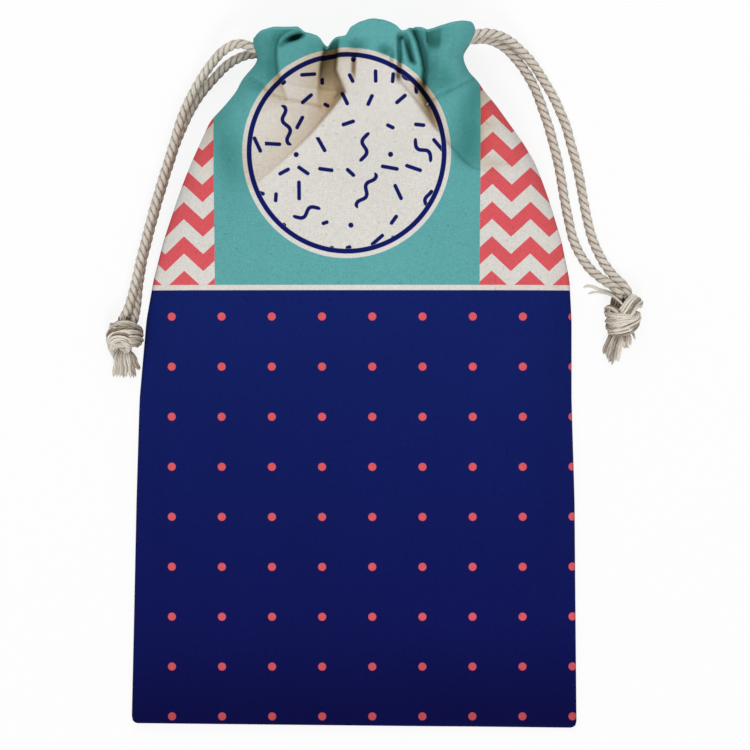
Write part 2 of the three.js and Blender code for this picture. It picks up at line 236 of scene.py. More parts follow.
# Weave of the canvas. Noises have a scale and a detail.
weaveSet = {
    "pitch": 0.0011,
    "tone": 0.04,
    "slub": (420, 2),
    "slubStretch": 6,
    "slubSpan": (0.7, 1.3),
    "slubTone": (0.90, 1.07),
    "grain": (1500, 1),
    "grainTone": (-0.05, 0.05),
    "fleck": (520, 1),
    "fleckSpan": (0.70, 0.76),
    "fleckDark": 0.2,
    "wide": (24, 3),
    "wideTone": (0.96, 1.03),
    "paintedBottomShade": (-0.160, -0.105, 0.70),  # painted shade where the cloth rounds off into the bottom seam: from, to and how dark along the pouch
    "height": 0.35,
    "bump": (0.35, 0.0003),
    "surface": {"Roughness": 0.95, "Specular IOR Level": 0.06},
}


def canvasFinish(name, withMedallion):
    finish = Finish(name)
    across, along = finish.axes()
    sums = finish.sums
    s = printSet
    edge = s["edge"]

    def below(value, limit):  # 1 where value is under limit, with a soft edge
        return finish.range(value, sums("SUBTRACT", limit, edge), sums("ADD", limit, edge), 1.0, 0.0)

    def nearest(value, first, pitch):  # distance to the nearest of evenly spaced lines
        share = sums("FRACT", sums("ADD", sums("DIVIDE", sums("SUBTRACT", value, first), pitch), 0.5))
        return sums("MULTIPLY", sums("ABSOLUTE", sums("SUBTRACT", share, 0.5)), pitch)

    # navy ground with coral dots
    dotAcross = nearest(across, s["dotFirst"][0], s["dotPitch"][0])
    dotAlong = nearest(along, s["dotFirst"][1], s["dotPitch"][1])
    dotReach = finish.length(dotAcross, dotAlong)
    navyShare = finish.range(along, *s["navySpan"], 0.0, 1.0)
    navy = finish.blend(navyShare, s["navyLow"], s["navyHigh"])
    level = finish.add("Attribute", attribute_name="level")  # 0 where a dot would run down the side
    dots = sums("MULTIPLY", below(dotReach, s["dotRadius"]), level.outputs["Fac"])
    colour = finish.blend(dots, navy, s["coral"])

    # chevrons above the band
    fromPeak = nearest(across, s["chevronPeak"], s["chevronPitch"])
    drop = sums("MULTIPLY", fromPeak, 2 * s["chevronDrop"] / s["chevronPitch"])
    underTop = sums("SUBTRACT", sums("SUBTRACT", s["chevronTop"], along), drop)
    half = s["chevronRepeat"] / 2
    stripe = nearest(underTop, half / 2, s["chevronRepeat"])
    chevrons = finish.blend(below(stripe, half / 2), s["cream"], s["coral"])
    above = sums("SUBTRACT", 1.0, below(along, s["bandLow"]))
    colour = finish.blend(above, colour, chevrons)

    # teal field, and the cream band under it
    middle = (s["tealLeft"] + s["tealRight"]) / 2
    reach = (s["tealRight"] - s["tealLeft"]) / 2
    inside = below(sums("ABSOLUTE", sums("SUBTRACT", across, middle)), reach)
    tealShare = sums("MULTIPLY", inside, above)
    colour = finish.blend(tealShare, colour, s["teal"])
    band = sums("MULTIPLY", above, below(along, s["bandTop"]))
    colour = finish.blend(band, colour, s["cream"])

    if withMedallion:
        disc, colour = roundField(finish, below, across, along, colour)
        tealShare = sums("MULTIPLY", tealShare, sums("SUBTRACT", 1.0, disc))
    colour = finish.blend(1.0, colour, weaveGreyWithBottomShade(finish, across, along), "MULTIPLY")

    # painted shade of the folds, with one tint for the teal and another for the rest
    fold = finish.add("Attribute", attribute_name="fold")
    foldShadeTint = finish.blend(tealShare, s["creamFoldShade"], s["tealFoldShade"])
    colour = finish.blend(fold.outputs["Fac"], colour, foldShadeTint, "MULTIPLY")
    deepest = finish.range(fold.outputs["Fac"], 1.0, 2.0, 0.0, 1.0)
    colour = finish.blend(deepest, colour, s["deepFoldShade"], "MULTIPLY")
    finish.plug(colour, finish.shader.inputs["Base Color"])
    return finish.material


# Round field: a ring round scattered marks
def roundField(finish, below, across, along, colour):
    sums = finish.sums
    s = printSet
    fromX = sums("SUBTRACT", across, s["medallion"][0])
    fromY = sums("SUBTRACT", along, s["medallion"][1])
    radius = finish.length(fromX, fromY)
    disc = below(radius, s["medallionRadius"])
    colour = finish.blend(disc, colour, s["cream"])
    colour = finish.blend(below(radius, s["ringOuter"]), colour, s["ink"])
    inner = below(radius, s["ringInner"])
    colour = finish.blend(inner, colour, s["cream"])
    ground = finish.coords.outputs["Object"]
    dashes, dashPlace = confetti(finish, dashSet, ground)
    waves, _ = confetti(finish, waveSet, ground)
    dashToWave, _ = confetti(finish, waveSet, dashPlace)
    small = sums("MULTIPLY", below(dashes, 0.0), sums("GREATER_THAN", dashToWave, s["markGap"]))
    marks = sums("MULTIPLY", sums("MAXIMUM", small, below(waves, 0.0)), inner)
    return disc, finish.blend(marks, colour, s["ink"])


# Plain weave: warp and weft pass over each other, with uneven yarns and a few dark flecks, and a painted
# shade towards the bottom, where the cloth rounds off into the seam
def weaveGreyWithBottomShade(finish, across, along):
    sums = finish.sums
    s = weaveSet
    turn = math.tau / s["pitch"]
    warp = sums("SINE", sums("MULTIPLY", across, turn))
    weft = sums("SINE", sums("MULTIPLY", along, turn))
    weave = sums("MULTIPLY", warp, weft)
    slubAcross = finish.noise(*s["slub"], (1, s["slubStretch"], 1))
    slubAlong = finish.noise(*s["slub"], (s["slubStretch"], 1, 1))
    slub = sums("ADD", slubAcross, slubAlong)
    grain = finish.range(finish.noise(*s["grain"]), *noiseSpan, *s["grainTone"])
    fleck = finish.range(finish.noise(*s["fleck"]), *s["fleckSpan"], 0.0, s["fleckDark"])
    wide = finish.range(finish.noise(*s["wide"]), *noiseSpan, *s["wideTone"])
    fadeFrom, fadeTo, fadeTone = s["paintedBottomShade"]
    shadeFade = finish.range(along, fadeFrom, fadeTo, fadeTone, 1.0, True)
    tone = finish.range(slub, *s["slubSpan"], *s["slubTone"])
    tone = sums("ADD", tone, sums("MULTIPLY", weave, s["tone"]))
    tone = sums("SUBTRACT", sums("ADD", tone, grain), fleck)
    tone = sums("MULTIPLY", sums("MULTIPLY", tone, wide), shadeFade)
    finish.settle(s["surface"])
    finish.bump(sums("ADD", sums("MULTIPLY", weave, s["height"]), slub), *s["bump"])
    grey = finish.add("CombineColor")
    for index in range(3):
        finish.plug(tone, grey.inputs[index])
    return grey.outputs[0]


# Distance outside scattered marks, one to a cell and turned at random: dots, dashes or waves
dashSet = {
    "scale": 96,
    "scatter": 0.55,
    "few": 0.08,  # share of empty cells
    "shortest": -0.0004,
    "longest": 0.0037,
    "swing": 0,
    "shift": (5.37, 2.84, 0),
}
waveSet = {
    "scale": 36,
    "scatter": 0.45,
    "few": 0.22,
    "shortest": 0.0052,
    "longest": 0.0084,
    "swing": 0.0012,
    "period": 0.0092,
    "shift": (1.283, 1.262, 0),
}


def confetti(finish, s, place):
    sums = finish.sums

    def shifted(operation, first, second):
        node = finish.add("VectorMath", operation=operation)
        finish.plug(first, node.inputs[0])
        finish.plug(second, node.inputs[1])
        return node.outputs[0]

    cells = finish.add("TexVoronoi", voronoi_dimensions="2D", feature="F1")
    finish.plug(shifted("ADD", place, s["shift"]), cells.inputs["Vector"])
    cells.inputs["Scale"].default_value = s["scale"]
    cells.inputs["Randomness"].default_value = s["scatter"]
    chance = finish.add("SeparateColor")
    finish.plug(cells.outputs["Color"], chance.inputs[0])
    middle = shifted("SUBTRACT", cells.outputs["Position"], s["shift"])
    turned = finish.add("VectorRotate", rotation_type="Z_AXIS")
    finish.plug(shifted("SUBTRACT", place, middle), turned.inputs["Vector"])
    finish.plug(sums("MULTIPLY", chance.outputs[0], math.tau), turned.inputs["Angle"])
    local = finish.add("SeparateXYZ")
    finish.plug(turned.outputs[0], local.inputs[0])
    length = sums("MAXIMUM", finish.range(chance.outputs[1], 0.0, 1.0, s["shortest"], s["longest"]), 0.0)
    sideways = local.outputs[1]
    if s["swing"]:
        turn = math.tau / s["period"]
        phase = sums("MULTIPLY", local.outputs[0], turn)
        slope = sums("MULTIPLY", sums("COSINE", phase), s["swing"] * turn)
        sideways = sums("SUBTRACT", sideways, sums("MULTIPLY", sums("SINE", phase), s["swing"]))
        sideways = sums("DIVIDE", sideways, finish.length(slope, 1.0))
    past = sums("MAXIMUM", sums("SUBTRACT", sums("ABSOLUTE", local.outputs[0]), length), 0.0)
    reach = finish.length(past, sideways)
    reach = sums("ADD", reach, sums("LESS_THAN", chance.outputs[2], s["few"]))  # some cells stay empty
    dotGrow = finish.range(length, 0.0, printSet["shortMark"], printSet["dotGrow"], 0.0)
    return sums("SUBTRACT", sums("SUBTRACT", reach, printSet["markHalf"]), dotGrow), middle


frontFinish = canvasFinish("printed canvas front", True)
backFinish = canvasFinish("printed canvas back", False)
print("finishes made")


def addPiece(name, mesh, finish, slot, *nodes):
    piece = bpy.data.objects.new(name, mesh)
    scene.collection.objects.link(piece)
    mesh.materials.clear()
    mesh.materials.append(finish)
    for polygon in mesh.polygons:
        polygon.use_smooth = True
    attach(piece, "root")
    if nodes:
        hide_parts(*nodes)
    return piece


def gridMesh(name, columns, rows, size):
    bm = bmesh.new()
    bmesh.ops.create_grid(bm, x_segments=columns, y_segments=rows, size=size)
    mesh = bpy.data.meshes.new(name)
    bm.to_mesh(mesh)
    bm.free()
    return mesh


def vertexVectors(mesh, kind):
    values = np.zeros(len(mesh.vertices) * 3)
    mesh.vertices.foreach_get(kind, values)
    return values.reshape(-1, 3)


def addValues(mesh, name, values):
    mesh.attributes.new(name, "FLOAT", "POINT").data.foreach_set("value", values)


rng = random.Random(41)


# Length run at each point of a line
def runAlong(line):
    return np.concatenate([[0], np.cumsum(np.linalg.norm(np.diff(line, axis=0), axis=1))])


def between(at, low, high, first, second):
    return ((high - at) * first + (at - low) * second) / (high - low)


# A smooth line through points, with even steps: a centripetal spline of a few points to each span
def smoothRoute(points, step, spanPoints=24):
    given = np.array(points, float)
    given = np.vstack([2 * given[0] - given[1], given, 2 * given[-1] - given[-2]])
    parts = []
    for index in range(1, len(given) - 2):
        level = list(given[index - 1:index + 3])
        spans = np.linalg.norm(np.diff(level, axis=0), axis=1)
        knots = np.concatenate([[0], np.cumsum(np.sqrt(spans))])
        at = np.linspace(knots[1], knots[2], spanPoints, endpoint=False)[:, None]
        for width in (1, 2):
            ends = zip(knots, knots[width:], level, level[1:])
            level = [between(at, *end) for end in ends]
        parts.append(between(at, knots[1], knots[2], *level))
    line = np.vstack(parts + [given[-2]])
    run = runAlong(line)
    even = np.linspace(0, run[-1], max(int(round(run[-1] / step)), 2) + 1)
    return np.column_stack([np.interp(even, run, line[:, axis]) for axis in range(3)])


# Forward, side and up at each point of a line. Sides follow a given axis, or turn as little as they can.
def directions(line, widthAxis=None):
    along = np.gradient(line, axis=0)
    along /= np.linalg.norm(along, axis=1)[:, None]
    if widthAxis is not None:
        side = np.array(widthAxis) - along * (along @ np.array(widthAxis))[:, None]
        side /= np.linalg.norm(side, axis=1)[:, None]
        return along, side, np.cross(along, side)
    side = np.cross(along[0], (0, 0, 1.0))
    sides = []
    for forward in along:
        side = side - forward * (side @ forward)
        side = side / np.linalg.norm(side)
        sides.append(side)
    return along, np.array(sides), np.cross(along, np.array(sides))


# Tubes along lines, pointed at both ends. Each vertex keeps its place round and along its tube, and a shade.
tubeSet = {
    "tipShare": 0.0004,  # of the full section, at the very ends
    "fibreTurn": 6,  # radii along the tube in which its fibres turn by one radian
}


def tubeMesh(name, lines, radius, shades, roundness=2, tip=2):
    curve = bpy.data.curves.new(name, "CURVE")
    curve.dimensions = "3D"
    curve.bevel_depth = radius
    curve.bevel_resolution = roundness
    sides = 4 + 2 * roundness
    places = []
    for line in lines:
        spline = curve.splines.new("POLY")
        spline.points.add(len(line) - 1)
        spline.points.foreach_set("co", np.column_stack([line, np.ones(len(line))]).ravel())
        fromEnd = np.minimum(np.arange(len(line)), np.arange(len(line))[::-1])
        spline.points.foreach_set("radius", np.sqrt(np.clip(fromEnd / tip, tubeSet["tipShare"], 1)))
        run = runAlong(line)
        angle = math.tau * np.arange(sides) / sides + (run / radius / tubeSet["fibreTurn"])[:, None]
        angle = angle.ravel()
        along = np.repeat(run + rng.uniform(0, 1), sides)
        places.append(np.column_stack([radius * np.cos(angle), radius * np.sin(angle), along]))
    holder = bpy.data.objects.new(name, curve)
    mesh = bpy.data.meshes.new_from_object(holder)
    bpy.data.objects.remove(holder)
    bpy.data.curves.remove(curve)
    strand = mesh.attributes.new("strand", "FLOAT_VECTOR", "POINT")
    strand.data.foreach_set("vector", np.vstack(places).ravel())
    if callable(shades):
        shades = shades(vertexVectors(mesh, "co"))
    else:
        shades = np.concatenate([np.repeat(shade, sides) for shade in shades])
    addValues(mesh, "shade", shades)
    return mesh


# Cords: three strands laid round each other. Free lengths follow the CAD routes, in metres, and differ from
# them a little at the slits and at the right knot.
cordSet = {
    "diameter": 0.0042,
    "strands": 3,
    "layLength": 0.0112,
    "strandRadius": 0.00132,
    "strandOffset": 0.00094,
    "step": 0.0006,
    "floorGap": 0.00005,
    "intoKnot": 0.004,
    "groove": (0.00154, 0.00204),  # distances from the middle with full painted shade and with none
    "sideReach": (-0.0002, 0.0022),  # from the middle towards the pouch, where the painted shade sets in
    "sideDark": {"left": 0.6, "right": 0.35},
}
cordRoutes = {
    "left_cord_front_end": [
        (-0.0379, 0.1443, 0.0222), (-0.0386, 0.1443, 0.0216), (-0.0446, 0.1454, 0.0191),
        (-0.0468, 0.1467, 0.0185), (-0.0504, 0.1481, 0.0167), (-0.0540, 0.1480, 0.0145),
        (-0.0571, 0.1467, 0.0127), (-0.0599, 0.1448, 0.0111), (-0.0628, 0.1418, 0.0093),
        (-0.0654, 0.1386, 0.0079), (-0.0677, 0.1355, 0.0071), (-0.0713, 0.1296, 0.0067),
        (-0.0744, 0.1238, 0.0066), (-0.0769, 0.1184, 0.0066), (-0.0789, 0.1130, 0.0066),
        (-0.0810, 0.1058, 0.0066), (-0.0838, 0.0968, 0.0066), (-0.0866, 0.0878, 0.0066),
        (-0.0893, 0.0788, 0.0066), (-0.0918, 0.0698, 0.0066), (-0.0941, 0.0608, 0.0066),
        (-0.0964, 0.0518, 0.0066), (-0.0984, 0.0428, 0.0066), (-0.1002, 0.0356, 0.0064),
        (-0.1021, 0.0297, 0.0063), (-0.1040, 0.0252, 0.0065),
    ],
    "left_cord_back_end": [
        (-0.0379, 0.1443, 0.0090), (-0.0386, 0.1443, 0.0096), (-0.0446, 0.1440, 0.0121),
        (-0.0466, 0.1439, 0.0113), (-0.0504, 0.1431, 0.0095), (-0.0553, 0.1409, 0.0067),
        (-0.0585, 0.1387, 0.0049), (-0.0618, 0.1355, 0.0033), (-0.0653, 0.1318, 0.0024),
        (-0.0684, 0.1282, 0.0021), (-0.0715, 0.1238, 0.0021), (-0.0747, 0.1184, 0.0021),
        (-0.0772, 0.1130, 0.0021), (-0.0803, 0.1058, 0.0021), (-0.0833, 0.0968, 0.0021),
        (-0.0861, 0.0878, 0.0021), (-0.0888, 0.0788, 0.0021), (-0.0913, 0.0698, 0.0021),
        (-0.0936, 0.0608, 0.0021), (-0.0958, 0.0518, 0.0021), (-0.0973, 0.0428, 0.0021),
        (-0.0982, 0.0356, 0.0023), (-0.0987, 0.0297, 0.0035), (-0.0996, 0.0252, 0.0047),
    ],
    "right_cord_front_end": [
        (0.0406, 0.1497, 0.0222), (0.0413, 0.1497, 0.0216), (0.0473, 0.1497, 0.0191),
        (0.0526, 0.1519, 0.0177), (0.0590, 0.1532, 0.0153), (0.0650, 0.1522, 0.0125),
        (0.0704, 0.1495, 0.0095), (0.0745, 0.1460, 0.0069), (0.0780, 0.1427, 0.0050),
        (0.0809, 0.1391, 0.0036), (0.0839, 0.1346, 0.0026), (0.0872, 0.1292, 0.0021),
        (0.0902, 0.1238, 0.0021), (0.0926, 0.1184, 0.0021), (0.0952, 0.1120, 0.0021),
        (0.0971, 0.1049, 0.0021), (0.0994, 0.0968, 0.0021), (0.1014, 0.0878, 0.0021),
        (0.1030, 0.0788, 0.0021), (0.1048, 0.0698, 0.0021), (0.1072, 0.0608, 0.0021),
        (0.1112, 0.0522, 0.0021), (0.1143, 0.0475, 0.0023), (0.1174, 0.0437, 0.0033),
        (0.1205, 0.0407, 0.0047), (0.1224, 0.0376, 0.0061),
    ],
    "right_cord_back_end": [
        (0.0406, 0.1497, 0.0090), (0.0413, 0.1497, 0.0096), (0.0473, 0.1503, 0.0121),
        (0.0527, 0.1505, 0.0111), (0.0586, 0.1509, 0.0091), (0.0640, 0.1493, 0.0069),
        (0.0686, 0.1464, 0.0049), (0.0723, 0.1427, 0.0033), (0.0754, 0.1389, 0.0024),
        (0.0782, 0.1346, 0.0021), (0.0809, 0.1295, 0.0021), (0.0832, 0.1239, 0.0021),
        (0.0851, 0.1184, 0.0021), (0.0873, 0.1120, 0.0021), (0.0892, 0.1049, 0.0021),
        (0.0913, 0.0968, 0.0021), (0.0930, 0.0878, 0.0021), (0.0945, 0.0788, 0.0021),
        (0.0963, 0.0698, 0.0021), (0.0985, 0.0608, 0.0021), (0.1019, 0.0536, 0.0021),
        (0.1055, 0.0484, 0.0021), (0.1101, 0.0441, 0.0026), (0.1139, 0.0415, 0.0037),
        (0.1168, 0.0395, 0.0049), (0.1182, 0.0374, 0.0061),
    ],
}
# Held lengths: x where the cord leaves the near slit and turns at the far one, and its lane
cordRuns = {
    "left_cord_run": {"near": -0.0326, "far": 0.0369, "lane": 0.1443},
    "right_cord_run": {"near": 0.0353, "far": -0.0308, "lane": 0.1497},
}
runSet = {
    "middleHeight": 0.0156,
    "turnRadius": 0.0085,
    "exitAngle": 37,
    "shares": (0.25, 0.5, 0.75),  # points of the level length
    "bendPoints": 13,
    "dips": [(-0.012, 0.008, 0.014), (0.021, 0.0024, 0.008)],  # under notches of the mouth: x, depth, reach
}


def strandLines(line):
    _, side, up = directions(line)
    run = runAlong(line)
    lines = []
    for strand in range(cordSet["strands"]):
        angle = math.tau * (strand / cordSet["strands"] - run / cordSet["layLength"])
        offset = np.cos(angle)[:, None] * side + np.sin(angle)[:, None] * up
        lines.append(line + cordSet["strandOffset"] * offset)
    return lines


def ropeMesh(name, line):
    label = name.split("_")[0]
    inwards = 1 if label == "left" else -1

    # painted shade: darker in the grooves between strands and on the side that faces the pouch
    def shades(spots):
        offset = np.array([spot - line[np.argmin(np.linalg.norm(line - spot, axis=1))] for spot in spots])
        facing = ease(inwards * offset[:, 0], *cordSet["sideReach"])
        groove = ease(np.linalg.norm(offset, axis=1), *cordSet["groove"])
        return groove * (1 - cordSet["sideDark"][label] * facing)

    mesh = tubeMesh(name, strandLines(line), cordSet["strandRadius"], shades)
    for vertex in mesh.vertices:
        vertex.co.z = max(vertex.co.z, cordSet["floorGap"])
    return mesh


knotPlaces = {"left": (-0.1036, 0.0180, 0.0065), "right": (0.1199, 0.0277, 0.0065)}
knotEntry = {"left": (0, 0, 0), "right": (0.0032, 0.0042, 0)}  # from the middle, where the cords head for
cordPieces = {}
for name, route in cordRoutes.items():
    side = name.split("_")[0]
    inwards = Vector(knotPlaces[side]) + Vector(knotEntry[side]) - Vector(route[-1])
    tip = Vector(route[-1]) + inwards.normalized() * cordSet["intoKnot"]
    line = smoothRoute([*route, tuple(tip)], cordSet["step"])
    mesh = ropeMesh(name, line)
    piece = addPiece(name + "_rope", mesh, cordFinish, "cotton_cord", name)
    cordPieces[name] = {"piece": piece, "line": line, "exit": route[0]}
for name, run in cordRuns.items():
    near, far = run["near"], run["far"]
    radius = runSet["turnRadius"] * (1 if near < far else -1)
    lead = math.radians(runSet["exitAngle"])
    upper = [(near - radius * math.sin(angle), math.cos(angle)) for angle in (lead, lead / 2, 0)]
    upper += [(near + (far - near) * share, 1) for share in runSet["shares"]]
    bend = np.linspace(0, math.pi, runSet["bendPoints"])
    turn = [(far + radius * math.sin(angle), math.cos(angle)) for angle in bend]
    lower = [(x, -high) for x, high in reversed(upper)]
    route = [
        (x, run["lane"], runSet["middleHeight"] + high * runSet["turnRadius"])
        for x, high in upper + turn + lower
    ]
    line = smoothRoute(route, cordSet["step"])
    for place, dip, reach in runSet["dips"]:
        line[:, 1] -= dip * np.exp(-((line[:, 0] - place) / reach) ** 2)
    mesh = ropeMesh(name, line)
    addPiece(name + "_rope", mesh, cordFinish, "cotton_cord", name)
print("cords laid")

# Both panels. Outline and folds are read in picture pixels, heights in millimetres.
panelSet = {
    "thickness": 0.8,
    "columns": 240,
    "columnCrowd": 0.4,  # share of the columns' places that crowds towards the sides
    "rows": 180,
    "rowShares": (0.133, 0.256, 0.833, 0.867),  # body, shoulder, neck and mouth fold end here
    "shoulderY": 21,
    "neckY": 85,
    "outlineSpread": 7,
    "mouthSpread": 1.5,
    "outline": [  # row, left edge, right edge
        (20, 252, 476.5), (28, 252, 476.5), (39, 252, 472.5), (48, 254, 466), (56, 258, 463),
        (64, 255, 465.5), (72, 247.5, 469.5), (80, 241, 478), (92, 234, 487), (104, 224, 497),
        (120, 209, 508.5), (140, 200, 523), (160, 191, 535), (180, 183, 543), (200, 176, 550),
        (240, 163, 562), (280, 153, 570), (320, 146, 572), (400, 139, 572), (500, 136, 575),
        (620, 133.5, 576), (730, 131, 577),
    ],
    "mouth": [  # top edge of the front
        (252, 39), (257, 33.5), (263, 30), (276, 27), (300, 27), (308, 33), (314, 34.5), (320, 36.5),
        (324, 40), (326.5, 44), (328.5, 46.5), (331, 46), (334, 41), (338, 37.5), (343, 37), (348.5, 36),
        (349.5, 31), (351, 28), (358, 23.5), (368, 20), (374, 19.5), (383, 21), (390, 23.5), (395.5, 26.5),
        (399, 30), (401.5, 31.5), (405, 31), (408, 28.5), (414, 27), (420, 27.5), (425, 29.5), (430, 28.5),
        (440, 25.5), (450, 22.5), (460, 21), (470, 21), (474, 24.5), (476, 28),
    ],
    "mouthSides": 30,  # row at which the mouth's columns are spread
    "backMouthRow": 33,
    "backMouthWave": (9, 0.5),
    "backNotch": (-0.30, 0.17, 6.3),  # place, reach and depth
    "backCorner": 2.5,
    "bottomRows": (723.5, 728.5),
    "bottomY": -158.5,
    "bottomHalf": 99.5,
    "bottomShare": 0.012,  # of the body, in its first two rows
    "cornerRound": 3.0,
    "seamHeight": 2.0,
    "seamGap": 0.15,  # from the middle of the seam to each panel
    "seamRise": {1: 1.9, -1: 1.75},
    "dotSlope": (0.25, 0.6),  # dots set in between these heights of the cloth's normal
    "seamRound": 2.2,
    "puff": 9.5,
    "stitchY": 126,
    "cordLineY": 147,
    "gatherStart": 21,
    "neckMiddle": 15.6,
    "neckHeight": 22,  # over the height that the camera is focused on
    "neckRadius": 12.2,
    "slitTurn": 54,  # degrees that the cloth goes round the neck, at the slits and where it is sewn
    "seamTurn": 89.5,
    "slitRun": 7,
    "hemChannel": 4.2,  # from the middle of the neck to the inner layer of the casing
    "hemGap": 1.9,
    "hemInset": 2.4,
    "hemReach": [(0.035, 0), (-0.035, 0), (0, 2), (0, -2)],  # steps to nearby folds
    "laneStart": (1, 7),  # over the stitches, where the hem opens for the cords
    "laneEnd": (6, 11),  # over the line of the cords, where it closes
    "mouthLift": 1.5,
    "mouthRun": 12,
    "mouthHeight": 36,
    "ridge": 9.0,
    "edgePower": {"folds": 8, "hem": 12, "inset": 6, "corner": 12},  # how close to the sides these change
    "edgeFolds": 0.25,  # share of the folds that the sides keep
    "casingSoft": 4,
    "cordCover": 0.3,  # cloth that folds leave over the cords
    "freeDepth": 40,
    "stopSoft": 0.8,
}
backWaveSet = {
    "depth": 2.9,
    "power": 1.5,
    "edgePower": 10,
    "turns": 10.5,
    "bend": (1.6, 4.3, 1.0),  # how far, how often and from where
    "slant": (0.5, 15),
    "lowest": 0.12,
}
# Waves of cloth that has been folded and laid out, in millimetres. A bend has a swing and a length.
rippleSet = {
    "slow": {"height": 0.16, "across": 17, "bend": (1.3, 31), "along": 23, "start": 0.8},
    "fine": {"height": 0.07, "across": 9.1, "slant": 14.3, "along": 8.7, "drift": 29},
    "gathers": {"height": 0.34, "across": 1.15, "bend": (1.7, 9), "crowd": (2.1, 6.3)},
    "groups": {"across": 4.7, "drift": 21, "start": 0.7, "power": 4},
}
# Folds of the front, with shade painted beside them. Steps drop one side of their line: side, reach, tone of
# the painted shade, points.
# Creases go down: reach, tone, points. Pits go down: middle, reach, turn, depth, tone. Tones are of painted
# shade.
# Points are column, row and depth.
foldSet = [
    # flap left of the notch, rolled over a hollow
    ("step", 1, 16, 1.0, [
        (308, 33, 0), (300, 31.5, 2), (292, 32, 4), (284, 35, 5), (278.5, 40, 6), (276.2, 47, 8),
        (276, 58, 9), (277.4, 72, 7), (282, 88, 3.5), (289, 106, 0),
    ]),
    ("step", 1, 6, 0.6, [(309, 33.5, 0), (300, 38, 4), (290, 42.5, 5), (281, 46.8, 4), (277, 49, 0)]),
    ("pit", (295.5, 38), (8, 3.2), -20, 8, 1.8),
    ("step", -1, 8, 1.5, [
        (324, 36, 0), (326.5, 43, 8), (324.5, 54, 9), (321.5, 66, 7), (320, 80, 3.4), (319, 96, 1.2),
        (320, 114, 0),
    ]),
    # left edge of the wide flat fold in the middle
    ("step", 1, 20, 1.3, [
        (338, 38, 0), (337, 50, 8), (335.3, 71, 9), (344.4, 93, 8), (328, 114, 4.6), (311, 134, 3),
        (287, 157, 2), (258, 182, 1.2), (240, 194, 0),
    ]),
    ("crease", 1.6, 1.5, [(354.6, 54, 0), (354.0, 62, 4), (353.6, 72, 4), (354.5, 82, 0)]),
    ("pit", (357, 46), (9, 4.5), 0, 3.6, 0.6),
    ("pit", (350, 55), (18, 4), 0, 0.6, 0.6),
    ("pit", (385, 51), (7, 4.5), 20, 3.2, 1.0),
    ("crease", 1.5, 0.6, [(391, 50, 0), (392, 57, 3), (391.3, 63, 2.4), (390.5, 71, 0)]),
    ("crease", 1.9, 1.4, [(399, 33, 0), (399.2, 42, 5), (399.8, 62, 6.5), (398, 76, 5), (399, 86, 0)]),
    # its right edge, which runs out on the shoulder
    ("step", -1, 16, 0.3, [
        (395, 70, 0), (397, 78, 2.6), (418, 104, 2.8), (441, 135, 3.2), (453, 149, 3), (461, 158, 2.6),
        (472, 167.5, 2.2), (488, 172, 1.4), (520, 172, 0),
    ]),
    ("crease", 5, 2.0, [
        (417, 77, 0), (419, 85, 3), (424.5, 98, 3), (429, 110, 2.6), (434, 121, 1.8), (440, 132, 0),
    ]),
    # narrow folds right of it
    ("pit", (401.5, 38), (3.4, 2.6), 0, 4, 0.9),
    ("crease", 2.2, 1.6, [(404, 34, 0), (406.8, 43, 7), (408.8, 51, 8), (411.8, 61, 7), (416, 67, 0)]),
    ("step", -1, 11, 1.0, [
        (407, 26, 2), (412, 32, 8), (417, 42, 10), (421.5, 58, 11), (423.6, 70, 11), (422.4, 80, 8),
        (424, 92, 3), (432, 112, 0),
    ]),
    ("crease", 1.7, 1.1, [
        (410, 27, 1), (414.4, 33, 3), (418.4, 42, 4), (422.8, 58, 4), (424.9, 70, 4), (423.8, 79, 3),
        (425, 90, 0),
    ]),
    ("step", -1, 9, 0.8, [(427.5, 24, 0), (427, 32, 5), (427.2, 41, 5), (428.4, 47, 2.5), (430, 52, 0)]),
    ("pit", (433.5, 43), (5.5, 7), 0, 1.5, 0.35),
    ("step", 1, 8, 0.35, [
        (439.5, 25, 0), (439.3, 33, 1.6), (439.2, 42, 1.6), (438, 48, 0.8), (434, 51.5, 0),
    ]),
    # hollows of the shoulders
    ("pit", (444, 79), (13, 12), 0, 3.2, 0.5),
    ("pit", (474, 101), (13, 19), 14, 2.0, 0.9),
    ("pit", (470, 136), (15, 24), 8, 3.6, 0.95),
    ("pit", (468, 156), (13, 11), 25, 0.8, 0.35),
    ("pit", (491, 125), (9, 7), 0, 0.8, 0.3),
    ("pit", (495, 164), (11, 5), 0, 0.8, 0.35),
    ("pit", (226, 152), (15, 40), -10, 1.6, 0.85),
    ("pit", (256, 88), (10, 5), 20, 0.8, 0.5),
    # long soft creases beside the seams
    ("crease", 11, 0.1, [
        (567, 230, 0), (562, 300, 1.0), (556, 420, 1.3), (549, 560, 1.0), (545, 700, 0),
    ]),
    ("crease", 9, 0.1, [(152, 330, 0), (160, 430, 0.7), (158, 560, 0.8), (152, 690, 0)]),
]
foldEdge = {
    "wall": 0.8,
    "creasePower": 1.5,
    "shadeStart": 1.3,
    "shadeEdge": 0.5,
    "shadeReach": 1.7,
    "shadePower": 0.6,
    "deepest": 2,
}
stitchRuns = {
    "left": [
        (250, 79), (258, 83), (264, 88), (270, 94.5), (283, 99.5), (297, 102), (309, 104.5), (321, 107.5),
    ],
    "right": [(426, 105.5), (436, 98.5), (446, 93.5), (457, 88), (466, 83.5), (474, 79.5)],
}
# tone and toneReach paint a shade along the stitch line
stitchDent = {"depth": 0.9, "reach": 2.6, "even": 0.65, "waves": (1.3, 0.9), "tone": 0.45, "toneReach": 1.4}


# Values at keys, joined and smoothed, in steps of half a pixel
def smoothTable(keys, values, spread, step=0.5, margin=40):
    fine = np.arange(min(keys) - margin, max(keys) + margin, step)
    level = np.interp(fine, keys, values)
    kernel = np.hanning(2 * int(spread / step) + 3)[1:-1]
    padded = np.pad(level, len(kernel) // 2, mode="edge")
    level = np.convolve(padded, kernel / kernel.sum(), mode="valid")
    return lambda at: np.interp(at, fine, level)


